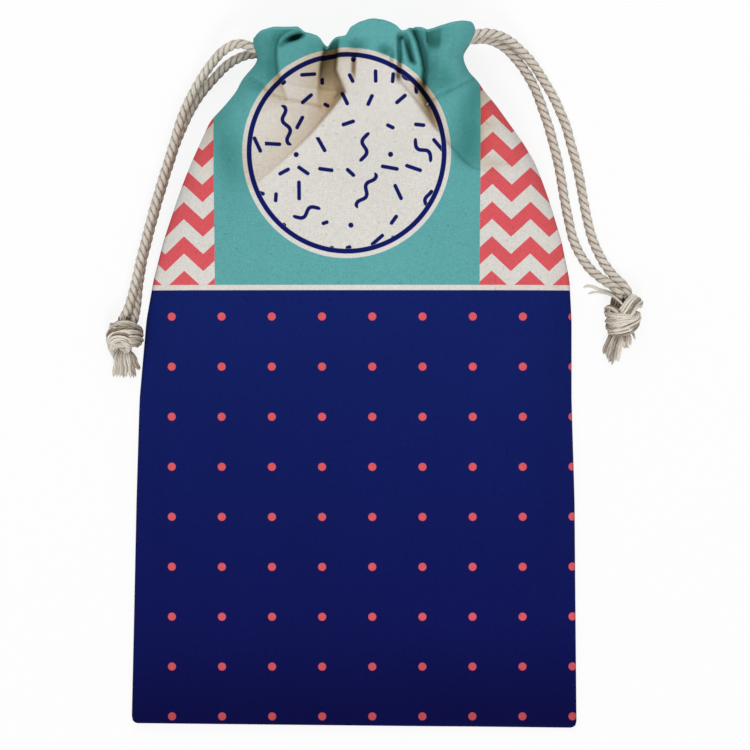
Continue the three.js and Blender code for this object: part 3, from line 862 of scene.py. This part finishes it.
outlineRows, leftColumns, rightColumns = zip(*panelSet["outline"])
leftEdge = smoothTable(outlineRows, leftColumns, panelSet["outlineSpread"])
rightEdge = smoothTable(outlineRows, rightColumns, panelSet["outlineSpread"])
mouthEdge = smoothTable(*zip(*panelSet["mouth"]), panelSet["mouthSpread"])


def gatherShare(y):
    return ease(y, panelSet["gatherStart"], panelSet["stitchY"])


# Smooth body of a panel, before its folds: front is face 1 and back is face -1
def panelBody(face, u, y):
    s = panelSet
    share = gatherShare(y)
    grow = 1 + s["neckHeight"] * mm * share / cameraReach
    row = pictureMiddle - y * grow / pixelSize
    low, high = [(edge(row) - pictureMiddle) * pixelSize / grow + shiftX for edge in (leftEdge, rightEdge)]
    middle, half = (low + high) / 2, (high - low) / 2
    size, side = np.abs(u), np.sign(u)
    bottom = s["bottomY"]
    rise = np.clip((y - bottom) / (s["stitchY"] - bottom), 0, 1)
    inEdge = np.clip((size * half - (half - s["seamRound"])) / s["seamRound"], 0, 1)
    inBottom = np.clip(1 - (y - bottom) / s["seamRound"], 0, 1)
    roundness = np.sqrt(np.clip(1 - np.maximum(inEdge, inBottom) ** 2, 0, 1))
    flatZ = s["seamHeight"] + face * (s["seamGap"] + s["seamRise"][face] * roundness)
    if face > 0:
        flatZ = flatZ + s["puff"] * (1 - (1 - rise) ** 2) * (1 - size ** 4)
    flatX = middle + u * half
    slit = ease(y, s["stitchY"], s["stitchY"] + s["slitRun"])
    turn = np.radians(s["seamTurn"] + (s["slitTurn"] - s["seamTurn"]) * slit)
    level = half - s["neckRadius"] * np.sin(turn)
    along = size * (level + s["neckRadius"] * turn)
    angle = np.maximum(along - level, 0) / s["neckRadius"]
    neckX = middle + side * (np.minimum(along, level) + s["neckRadius"] * np.sin(angle))
    neckZ = s["neckMiddle"] + face * s["neckRadius"] * np.cos(angle)
    return flatX + (neckX - flatX) * share, flatZ + (neckZ - flatZ) * share


# Distance to the nearest place of a stroke, the side of it, and the stroke's depth there
def strokeDistance(px, py, points):
    best = np.full(px.shape, np.inf)
    side = np.zeros(px.shape)
    depth = np.zeros(px.shape)
    for (ax, ay, ah), (bx, by, bh) in zip(points[:-1], points[1:]):
        dx, dy = bx - ax, by - ay
        share = np.clip(((px - ax) * dx + (py - ay) * dy) / (dx * dx + dy * dy), 0, 1)
        offX, offY = px - ax - share * dx, py - ay - share * dy
        reach = np.hypot(offX, offY)
        nearer = reach < best
        best = np.where(nearer, reach, best)
        side = np.where(nearer, np.sign(dx * offY - dy * offX), side)
        depth = np.where(nearer, ah + (bh - ah) * share, depth)
    return best, side, depth


def softStep(value, width):
    return 1 / (1 + np.exp(-np.clip(value / width, -40, 40)))


# How far the folds go down at each place, and how much painted shade lies there
def foldDepth(px, py):
    total = np.zeros(px.shape)
    shade = np.zeros(px.shape)
    for fold in foldSet:
        if fold[0] == "step":
            _, lower, reach, tone, points = fold
            away, side, depth = strokeDistance(px, py, points)
            signed = away * side * lower
            past = np.maximum(signed, 0)
            total -= depth * softStep(signed, foldEdge["wall"]) * np.exp(-past / reach)
            onWall = softStep(signed + foldEdge["shadeStart"], foldEdge["shadeEdge"])
            shadeFade = np.exp(-past / (reach * foldEdge["shadeReach"]))
            deepest = max(point[2] for point in points)
            shade += tone * (depth / deepest) ** foldEdge["shadePower"] * onWall * shadeFade
        elif fold[0] == "crease":
            _, reach, tone, points = fold
            away, _, depth = strokeDistance(px, py, points)
            shape = np.exp(-(away / reach) ** foldEdge["creasePower"])
            total -= depth * shape
            shade += tone * depth / max(point[2] for point in points) * shape
        else:
            _, (cx, cy), (rx, ry), turn, depth, tone = fold
            angle = math.radians(turn)
            ax = (px - cx) * math.cos(angle) + (py - cy) * math.sin(angle)
            ay = -(px - cx) * math.sin(angle) + (py - cy) * math.cos(angle)
            shape = np.exp(-(ax / rx) ** 2 - (ay / ry) ** 2)
            total -= depth * shape
            shade += tone * shape
    for points in stitchRuns.values():
        away, _, _ = strokeDistance(px, py, [(x, y, 1) for x, y in points])
        waves = np.sin(px * stitchDent["waves"][0]) * np.sin(py * stitchDent["waves"][1])
        uneven = stitchDent["even"] + (1 - stitchDent["even"]) * waves
        total -= stitchDent["depth"] * np.exp(-(away / stitchDent["reach"]) ** 2) * uneven
        shade += stitchDent["tone"] * np.exp(-(away / stitchDent["toneReach"]) ** 2)
    return total, np.clip(shade, 0, foldEdge["deepest"])


# Slow unevenness all over, and fine gathers in the casing
def unevenness(x, y):
    def bent(at, swing, length):
        return swing * np.sin(at / length)

    slow, fine, gathers, groups = rippleSet.values()
    ripple = np.sin(x / slow["across"] + bent(y, *slow["bend"])) * np.sin(y / slow["along"] + slow["start"])
    small = np.sin(x / fine["across"] - y / fine["slant"]) * np.sin(y / fine["along"] + x / fine["drift"])
    tight = np.sin(x / gathers["across"] + bent(y, *gathers["bend"]) + bent(x, *gathers["crowd"]))
    tight = tight * np.sin(x / groups["across"] + y / groups["drift"] + groups["start"])
    tight = tight * gatherShare(y) ** groups["power"]
    return slow["height"] * ripple + fine["height"] * small + gathers["height"] * tight


def frontSurface(u, y):
    s = panelSet
    x, base = panelBody(1, u, y)
    px, py = toPicture(x, y, base)
    lift = s["mouthLift"] * np.clip((y - s["cordLineY"]) / s["mouthRun"], 0, 1) ** 2
    calm = 1 - np.abs(u) ** s["edgePower"]["folds"]
    ridge = s["ridge"] * gatherShare(y) ** 2 * calm
    depth, shade = foldDepth(px, py)
    depth = depth * np.minimum(1, s["edgeFolds"] + calm)
    z = base + ridge + depth + lift + unevenness(x, y) * calm
    casing = ease(y, s["stitchY"] - s["casingSoft"], s["stitchY"] + s["casingSoft"])
    # folds of the casing stop at the cords inside it
    lowest = base - s["cordCover"] - s["freeDepth"] * (1 - casing)
    z = lowest + np.logaddexp(0, (z - lowest) / s["stopSoft"]) * s["stopSoft"]
    return x, z, shade


def backSurface(u, y):
    s = backWaveSet
    x, z = panelBody(-1, u, y)
    share = gatherShare(y) ** s["power"] * (1 - np.abs(u) ** s["edgePower"])
    bend, bendTurns, bendStart = s["bend"]
    slant, slantRun = s["slant"]
    wave = np.sin(u * s["turns"] + bend * np.sin(u * bendTurns + bendStart) + slant * np.sin(y / slantRun))
    z = z - s["depth"] * share * (0.5 + 0.5 * wave)
    return x, np.maximum(z, s["lowest"]), np.zeros(u.shape)


def columnShare(c):
    crowd = panelSet["columnCrowd"]
    return (1 - crowd) * c + crowd * (1.5 * c - 0.5 * c ** 3)


# One panel as a single sheet: up the outside to the mouth, over it and down inside the casing
def panelMesh(name, face):
    s = panelSet
    mesh = gridMesh(name, s["columns"], s["rows"], 1)
    grid = vertexVectors(mesh, "co")
    u = columnShare(grid[:, 0])
    v = (grid[:, 1] + 1) / 2
    surface = frontSurface if face > 0 else backSurface
    if face > 0:
        left, right = leftEdge(s["mouthSides"]), rightEdge(s["mouthSides"])
        px = left + (right - left) * (u + 1) / 2
        topY = (pictureMiddle - mouthEdge(px)) * pixelSize / (1 + s["mouthHeight"] * mm / cameraReach)
    else:
        turns, start = s["backMouthWave"]
        topY = (pictureMiddle - s["backMouthRow"] + np.sin(u * turns + start)) * pixelSize
        place, reach, depth = s["backNotch"]
        topY = topY - depth * np.exp(-((u - place) / reach) ** 2)
        topY = topY - s["backCorner"] * np.abs(u) ** s["edgePower"]["corner"]
    rows = s["bottomRows"]
    bottomY = (pictureMiddle - (rows[0] + (rows[1] - rows[0]) * (u + 1) / 2)) * pixelSize
    corner = np.clip(1 - (1 - np.abs(u)) * s["bottomHalf"] / s["cornerRound"], 0, 1)
    bottomY = bottomY + s["cornerRound"] * (1 - np.sqrt(1 - corner ** 2))
    bodyEnd, shoulderEnd, neckEnd, foldEnd = s["rowShares"]
    seamRow = 2 / s["rows"]
    bodyShare = np.interp(v, [0, seamRow, bodyEnd], [0, s["bottomShare"], 1])
    shoulderShare = np.interp(v, [bodyEnd, shoulderEnd], [0, 1])
    neckShare = np.interp(v, [shoulderEnd, neckEnd], [0, 1])
    y = bottomY + (s["shoulderY"] - bottomY) * bodyShare
    y = y + (s["neckY"] - s["shoulderY"]) * shoulderShare + (topY - s["neckY"]) * neckShare
    turn = np.interp(v, [neckEnd, foldEnd], [0, math.pi])
    inside = np.interp(v, [foldEnd, 1.0], [0, 1])
    y = y - inside * (topY - s["stitchY"])
    x, z, fold = surface(u, y)
    lane = ease(y - s["stitchY"], *s["laneStart"]) * (1 - ease(y - s["cordLineY"], *s["laneEnd"]))
    neckLow = s["neckMiddle"] + face * s["hemChannel"]
    inHem = v > foldEnd
    under = face * z[inHem]
    for stepU, stepY in s["hemReach"]:  # the hem keeps under the walls of nearby folds
        nearZ = surface(np.clip(u[inHem] + stepU, -1, 1), y[inHem] + stepY)[1]
        under = np.minimum(under, face * nearZ)
    hemZ = z - face * s["hemGap"]
    hemZ[inHem] = face * (under - s["hemGap"])
    hemZ = hemZ + (neckLow - hemZ) * lane * (1 - np.abs(u) ** s["edgePower"]["hem"])
    folded = turn > 0
    half = s["hemGap"] / 2
    z = np.where(folded, z - face * half * (1 - np.cos(turn)), z)
    y = np.where(folded, y + half * np.sin(turn), y)
    z = np.where(inHem, hemZ, z)
    inset = np.sign(u) * np.abs(u) ** s["edgePower"]["inset"] * s["hemInset"]
    x = x - inset * (1 - np.cos(turn)) / 2
    # the fold attribute is painted shade of the folds, none where the cloth turns over at the mouth and in
    # the hem
    addValues(mesh, "fold", np.where(folded, 0.0, fold))
    mesh.vertices.foreach_set("co", (np.column_stack([x, y, z]) * mm).ravel())
    mesh.update()
    level = ease(np.abs(vertexVectors(mesh, "normal")[:, 2]), *s["dotSlope"])
    addValues(mesh, "level", level)
    return mesh


panels = {}
panelSides = [("front", 1, frontFinish), ("back", -1, backFinish)]
for label, face, finish in panelSides:
    mesh = panelMesh(label + "_canvas", face)
    if face < 0:
        mesh.flip_normals()
    piece = addPiece(label + "_canvas_panel", mesh, finish, label + "_canvas", label + "_panel")
    wall = piece.modifiers.new("cloth thickness", "SOLIDIFY")
    wall.thickness = panelSet["thickness"] * mm
    wall.offset = -1
    panels[label] = piece
print("panels sewn")

# Knots: bundles of loosened yarn wrapped over each other, and frayed tassels. Places are in millimetres
# from the middle of each knot, with z up. A bundle has its width, depth, count of yarns and points.
knotSet = {
    "yarnRadius": 0.5,
    "tasselYarn": 0.46,
    "floorGap": 0.5,
    "wander": 0.22,
    "sway": (0.15, 0.5),  # turn of the wander at each step
    "swayStart": 6.3,  # most that it starts with
    "step": {"bundle": 0.7, "core": 1.0, "loose": 0.8},
    "ringYarns": (5.0, 2.4, 14),  # width, depth and count of yarns
    "ringLap": 0.3,
    "ringPoints": 40,
    "coreYarns": (7.0, 5.5, 20),
    "looseYarns": (0.5, 0.4, 2),
    "looseWander": 0.1,
    "looseShade": 0.95,
    "shades": {"knot": (0.25, 1.06), "core": (0.1, 0.4), "tassel": (0.45, 1.06)},  # darkest, lightest yarns; dark yarns paint the shade of gaps, and the dark core paints the shade inside the knot
    "darkPower": 4,
    "rootShade": (0.4, 0.1),  # painted shade of a tassel's yarns at the knot, and what each step adds
    "sideShade": {"left": (1, 0.55), "right": (-1, 0.4)},  # painted shade: side that faces the pouch, and how dark it goes
    "sideReach": (1, 7),
    "left": {
        "bundles": [
            (3.4, 2.4, 13, [
                (-6.6, -0.6, -2.0), (-6.8, 0.8, 0.5), (-4.6, 3.8, 3.0), (-0.5, 5.0, 3.9), (3.6, 4.0, 3.4),
                (6.4, 2.0, 1.0), (6.4, 0.5, -2.5),
            ]),
            (3.2, 2.4, 13, [
                (-7.4, -3.8, -1.6), (-6.2, -0.6, 2.6), (-2.5, 1.6, 5.2), (1.5, 2.0, 5.5), (5.4, 1.6, 3.6),
                (7.3, 0.6, 0.5), (6.4, -0.5, -3.0),
            ]),
            (4.6, 3.0, 19, [
                (-5.4, -5.2, -2.6), (-6.0, -3.6, 1.6), (-3.6, -1.1, 5.0), (0.0, -1.4, 5.6),
                (1.5, -4.2, 3.8), (0.4, -6.6, 0.6),
            ]),
            (3.0, 2.6, 10, [
                (-5.0, -6.6, -1.0), (-3.8, -5.0, 2.4), (-1.6, -4.4, 4.2), (0.0, -5.8, 2.8),
                (0.0, -7.2, 0.2),
            ]),
            (2.8, 2.4, 10, [
                (0.6, -2.0, 3.6), (3.4, -1.5, 5.0), (6.1, -1.7, 3.2), (7.1, -2.8, 0.4), (5.8, -3.6, -2.6),
            ]),
            (2.8, 2.4, 10, [
                (0.8, -4.3, 3.2), (3.4, -3.8, 4.2), (5.5, -3.4, 2.4), (6.0, -3.9, -0.4), (4.8, -4.1, -3),
            ]),
            (2.8, 1.6, 9, [
                (-6.6, -3.0, 0.5), (-6.5, -5.4, -1.4), (-5.3, -8.2, -3.2), (-3.8, -11.6, -4.4),
            ]),
        ],
        "rings": [(1.6, -0.2, 6.0, 4.7), (-3.0, 0.1, 5.6, 4.4)],  # place, slope, half width, half height
        "core": [(0.5, 8.6, 0), (0.3, 3, 0.2), (-0.3, -3, 0), (-0.4, -8.0, -0.6)],
        "tassel": [  # start, start width, end, end width, depth, yarns, slant of the ends
            ((-0.4, -5.6, -0.6), 5.6, (-0.6, -19.2, -4.4), 11.6, 3.6, 36, 0),
            ((2.6, -7.4, -1.4), 2.0, (6.6, -15.8, -5.0), 2.8, 1.6, 8, 0.4),
        ],
        "loose": [],
    },
    "right": {
        "bundles": [
            (6.6, 2.8, 24, [
                (7.4, 4.4, -2.6), (6.9, 6.0, 1.6), (4.7, 4.4, 4.6), (2.6, 1.0, 4.6), (0.8, -1.6, 2.6),
            ]),
            (1.8, 1.4, 6, [
                (-7.6, 1.9, -0.5), (-5.4, 2.6, 1.6), (-3.2, 1.8, 3.0), (-1.2, 0.0, 3.6), (0.4, -1.4, 3.2),
            ]),
            (2.8, 2.4, 10, [
                (-5.6, 0.8, -2.6), (-6.4, -0.2, 0.6), (-4.0, -1.5, 3.8), (0.2, -1.8, 5.0), (3.4, -1.6, 4.4),
                (5.4, -1.8, 2.4),
            ]),
            (2.8, 2.4, 10, [
                (-5.2, -3.0, -2.6), (-6.2, -3.8, 0.6), (-2.9, -4.4, 4.2), (0.9, -3.7, 5.3),
                (5.0, -3.0, 4.2), (7.4, -1.6, 1.2), (7.0, 0.4, -2),
            ]),
            (2.8, 2.4, 10, [
                (-5.0, -5.2, -2.6), (-6.1, -6.0, 0.4), (-3.8, -7.2, 3.2), (0.2, -6.7, 4.6),
                (4.4, -5.2, 4.0), (7.5, -2.9, 1.0), (7.2, -1.4, -2),
            ]),
            (2.6, 2.2, 10, [
                (-4.4, -7.8, -2.6), (-4.2, -8.8, 0.4), (0.6, -8.9, 2.8), (4.2, -7.7, 2.6), (6.8, -5.2, 0.6),
                (7.2, -3.4, -2.4),
            ]),
        ],
        "rings": [(-2.4, 0.15, 5.6, 4.4), (-6.2, 0.2, 5.2, 4.2)],
        "core": [(-0.4, 7.8, -0.8), (-1.5, 3, -1.8), (-1.6, 0.6, -1.4), (-0.6, -3, -0.4), (-1.4, -9.0, -0.8)],
        "tassel": [
            ((-2.6, -8.0, -0.8), 4.8, (-6.6, -20.0, -4.6), 4.8, 3.0, 22, -1.5),
            ((-0.8, -8.4, -0.6), 2.4, (-2.0, -21.6, -5.2), 1.8, 1.8, 9, 0),
            ((1.2, -8.4, -0.8), 3.2, (2.4, -15.8, -4.8), 2.6, 1.8, 10, 0),
            ((3.0, -8.4, -1.4), 1.2, (4.6, -14.8, -5.2), 0.6, 0.8, 3, 0),
            ((4.4, -7.8, -1.6), 0.8, (6.8, -12.2, -5.2), 0.5, 0.6, 2, 0),
        ],
        "loose": [
            [
                (0.8, 3.4, 4.6), (-2.4, 6.6, 2.0), (-5.6, 8.8, -2.6), (-8.4, 9.4, -5.6),
                (-12.2, 9.7, -5.9), (-14.9, 8.9, -5.9),
            ],
            [
                (-2.6, 8.6, -1.0), (-6.0, 9.9, -4.2), (-9.4, 10.8, -5.8), (-13.2, 12.3, -5.9),
                (-15.2, 12.5, -5.9), (-17.0, 11.7, -5.9),
            ],
        ],
    },
}
goldenAngle = 2.39996  # fills an oval evenly


def ovalSpots(count):
    for index in range(count):
        reach = math.sqrt((index + 0.5) / count)
        yield reach * math.cos(goldenAngle * index), reach * math.sin(goldenAngle * index)


def bundleLines(line, widthAxis, width, depth, count, wander=knotSet["wander"]):
    _, side, up = directions(line, widthAxis)
    steps = np.arange(len(line))
    lines = []
    for a, b in ovalSpots(count):
        sways = []
        for _ in range(2):
            turn = steps * rng.uniform(*knotSet["sway"]) + rng.uniform(0, knotSet["swayStart"])
            sways.append(wander * np.sin(turn)[:, None])
        lines.append(line + (a * width / 2 + sways[0]) * side + (b * depth / 2 + sways[1]) * up)
    return lines


# Width of a bundle lies in the surface of the knot: across its run and across the way outwards
def surfaceAxis(line):
    along = np.gradient(line, axis=0)
    middle = line[len(line) // 2]
    return np.cross(along[len(line) // 2], middle)


brushSet = {
    "step": 0.9,
    "reach": (0.9, 1.02),  # share of the way to the end
    "endScatter": (-0.4, 0.4),
    "endThin": 3,
    "bowAt": 0.4,
    "bowSide": (-0.5, 0.5),
    "bowRise": 0.6,
    "riseScatter": (-0.3, 0.5),
    "bendAt": 0.75,
    "bendSide": (-0.6, 0.6),
}


def brushLines(start, startWidth, end, endWidth, depth, count, slant):
    s = brushSet
    lines = []
    start, end = np.array(start), np.array(end)
    for a, b in ovalSpots(count):
        first = start + (a * startWidth / 2, 0, b * depth / 2)
        last = start + (end - start) * rng.uniform(*s["reach"])
        out = a * endWidth / 2
        last = last + (out + rng.uniform(*s["endScatter"]), slant * out, b * depth / s["endThin"])
        bow = np.array((rng.uniform(*s["bowSide"]), 0, s["bowRise"] + rng.uniform(*s["riseScatter"])))
        bend = np.array((rng.uniform(*s["bendSide"]), 0, 0))
        early = first + (last - first) * s["bowAt"] + bow
        late = first + (last - first) * s["bendAt"] - bend
        lines.append(smoothRoute([first, early, late, last], s["step"]))
    return lines


def placed(lines, centre):
    moved = []
    for line in lines:
        spots = np.array(line) * mm + np.array(centre)
        spots[:, 2] = np.maximum(spots[:, 2], knotSet["floorGap"] * mm)
        moved.append(spots)
    return moved


def yarnShades(lines, part, label):
    low, high = knotSet["shades"][part]
    side, dark = knotSet["sideShade"][label]
    shades = []
    for line in lines:  # most yarns are light, a few so dark that they paint the shade of gaps, and the side facing the pouch gets painted shade
        shade = high - (high - low) * rng.random() ** knotSet["darkPower"]
        shades.append(shade * (1 - dark * ease(side * line[:, 0], *knotSet["sideReach"])))
    return shades


step = knotSet["step"]
rootShade, rootFade = knotSet["rootShade"]
for label, centre in knotPlaces.items():
    s = knotSet[label]
    lines = []
    for *section, points in s["bundles"]:
        line = smoothRoute(points, step["bundle"])
        lines += bundleLines(line, surfaceAxis(line), *section)
    for along, slope, halfWide, halfHigh in s["rings"]:
        angles = np.linspace(-knotSet["ringLap"], math.tau + knotSet["ringLap"], knotSet["ringPoints"])
        across = halfWide * np.cos(angles)
        ring = np.column_stack([across, along + slope * across, halfHigh * np.sin(angles)])
        lines += bundleLines(ring, (0.0, 1.0, 0.0), *knotSet["ringYarns"])
    shades = yarnShades(lines, "knot", label)
    # a dark core: painted shade deep inside the knot
    core = bundleLines(smoothRoute(s["core"], step["core"]), (1.0, 0.0, 0.0), *knotSet["coreYarns"])
    shades += yarnShades(core, "core", label)
    lines += core
    mesh = tubeMesh(label + "_knot", placed(lines, centre), knotSet["yarnRadius"] * mm, shades, 1)
    knot = addPiece(label + "_tied_knot", mesh, yarnFinish, "cotton_cord", label + "_knot")
    lines = []
    for brush in s["tassel"]:
        lines += brushLines(*brush)
    shades = yarnShades(lines, "tassel", label)
    # painted shade where the tassel's yarns leave the knot, lighter step by step
    shades = [shade * np.clip(rootShade + rootFade * np.arange(len(shade)), 0, 1) for shade in shades]
    for points in s["loose"]:
        line = smoothRoute(points, step["loose"])
        loose = bundleLines(line, (0.0, 1.0, 0.0), *knotSet["looseYarns"], knotSet["looseWander"])
        shades += [np.full(len(line), knotSet["looseShade"])] * len(loose)
        lines += loose
    mesh = tubeMesh(label + "_tassel", placed(lines, centre), knotSet["tasselYarn"] * mm, shades, 1)
    tassel = addPiece(label + "_frayed_tassel", mesh, yarnFinish, "cotton_yarn", label + "_tassel")
print("knots tied")

# Casing stitches lie on the cloth and go into it at both ends
stitchSet = {
    "length": 3.0,
    "gap": 2.2,
    "thickness": 0.4,
    "step": 0.2,
    "lift": 0.26,
    "firstLift": -0.1,
    "lastDrop": 0.28,
    "fewest": 4,  # points of a stitch that is kept
    "seenFrom": 200,
}
stitchLines = {"front": list(stitchRuns.values()), "back": [[(250, 102), (475, 102)]]}


def sewn(piece, pictureLine, face):
    s = stitchSet
    tree = BVHTree.FromObject(piece, bpy.context.evaluated_depsgraph_get())
    size = pixelSize / (1 + panelSet["neckHeight"] * mm / cameraReach) if face > 0 else pixelSize
    flat = [((x - pictureMiddle) * size + shiftX, (pictureMiddle - y) * size, 0) for x, y in pictureLine]
    path = smoothRoute(flat, s["step"])
    pitch = int((s["length"] + s["gap"]) / s["step"])
    stitch = int(s["length"] / s["step"]) + 1
    lines = []
    for start in range(0, len(path) - pitch, pitch):
        spots = []
        for x, y, _ in path[start:start + stitch:2]:
            origin = Vector((x, y, face * s["seenFrom"])) * mm
            hit = tree.ray_cast(origin, Vector((0, 0, -face)))[0]
            if hit is None:
                continue
            lift = s["lift"] if spots else s["firstLift"]
            spots.append((hit.x, hit.y, hit.z + face * lift * mm))
        if len(spots) >= s["fewest"]:
            lines.append(np.array(spots))
            lines[-1][-1, 2] -= face * s["lastDrop"] * mm
    return lines


for label, face, finish in panelSides:
    lines = []
    for pictureLine in stitchLines[label]:
        lines += sewn(panels[label], pictureLine, face)
    shades = [np.ones(len(line)) for line in lines]
    mesh = tubeMesh(label + "_stitches", lines, stitchSet["thickness"] / 2 * mm, shades, 1, 1)
    addPiece(label + "_casing_stitches", mesh, finish, label + "_canvas")
    print(label, "casing stitched:", len(lines))

# Line and side of each cord, read and not used
for name, cord in cordPieces.items():
    line = cord["line"]
    side = name.split("_")[0]

# Floor and light
stageSet = {
    "floorSize": 3.0,
    "glow": 0.86,
    "floor": {"Base Color": (0.9, 0.9, 0.9, 1), "Roughness": 0.9},
    "sky": 0.54,
    "keyPower": 56,
    "keyPlace": (0.3, -2.4, 2.85),
    "keySize": 1.2,
    "fillPower": 3.2,
    "fillPlace": (-0.1, 0.75, 0.7),
    "fillSize": 0.8,
}
floorMesh = gridMesh("floor", 1, 1, stageSet["floorSize"] / 2)
floor = bpy.data.objects.new("floor", floorMesh)
scene.collection.objects.link(floor)
floorFinish = Finish("pale floor")
floorFinish.settle(stageSet["floor"])
lightPath = floorFinish.add("LightPath")
seen = floorFinish.sums("MAXIMUM", lightPath.outputs["Is Camera Ray"], lightPath.outputs["Is Glossy Ray"])
seen = floorFinish.sums("MAXIMUM", seen, lightPath.outputs["Is Transmission Ray"])
glow = floorFinish.add("Emission")
mixer = floorFinish.add("MixShader")
floorFinish.plug(floorFinish.sums("MULTIPLY", seen, stageSet["glow"]), mixer.inputs[0])
floorFinish.plug(floorFinish.shader.outputs[0], mixer.inputs[1])
floorFinish.plug(glow.outputs[0], mixer.inputs[2])
floorFinish.plug(mixer.outputs[0], floorFinish.tree.nodes["Material Output"].inputs["Surface"])
floorMesh.materials.append(floorFinish.material)

world = bpy.data.worlds.new("soft studio")
world.use_nodes = True
sky = world.node_tree.nodes["Background"]
sky.inputs["Color"].default_value = (1, 1, 1, 1)
sky.inputs["Strength"].default_value = stageSet["sky"]
scene.world = world
for lampName in ("key", "fill"):
    lampData = bpy.data.lights.new(lampName + "Light", "AREA")
    lampData.energy = stageSet[lampName + "Power"]
    lampData.size = stageSet[lampName + "Size"]
    lamp = bpy.data.objects.new(lampName + "Light", lampData)
    lamp.location = stageSet[lampName + "Place"]
    lamp.rotation_mode = "QUATERNION"
    lamp.rotation_quaternion = (-lamp.location).to_track_quat("-Z", "Y")
    scene.collection.objects.link(lamp)
print("stage lit")
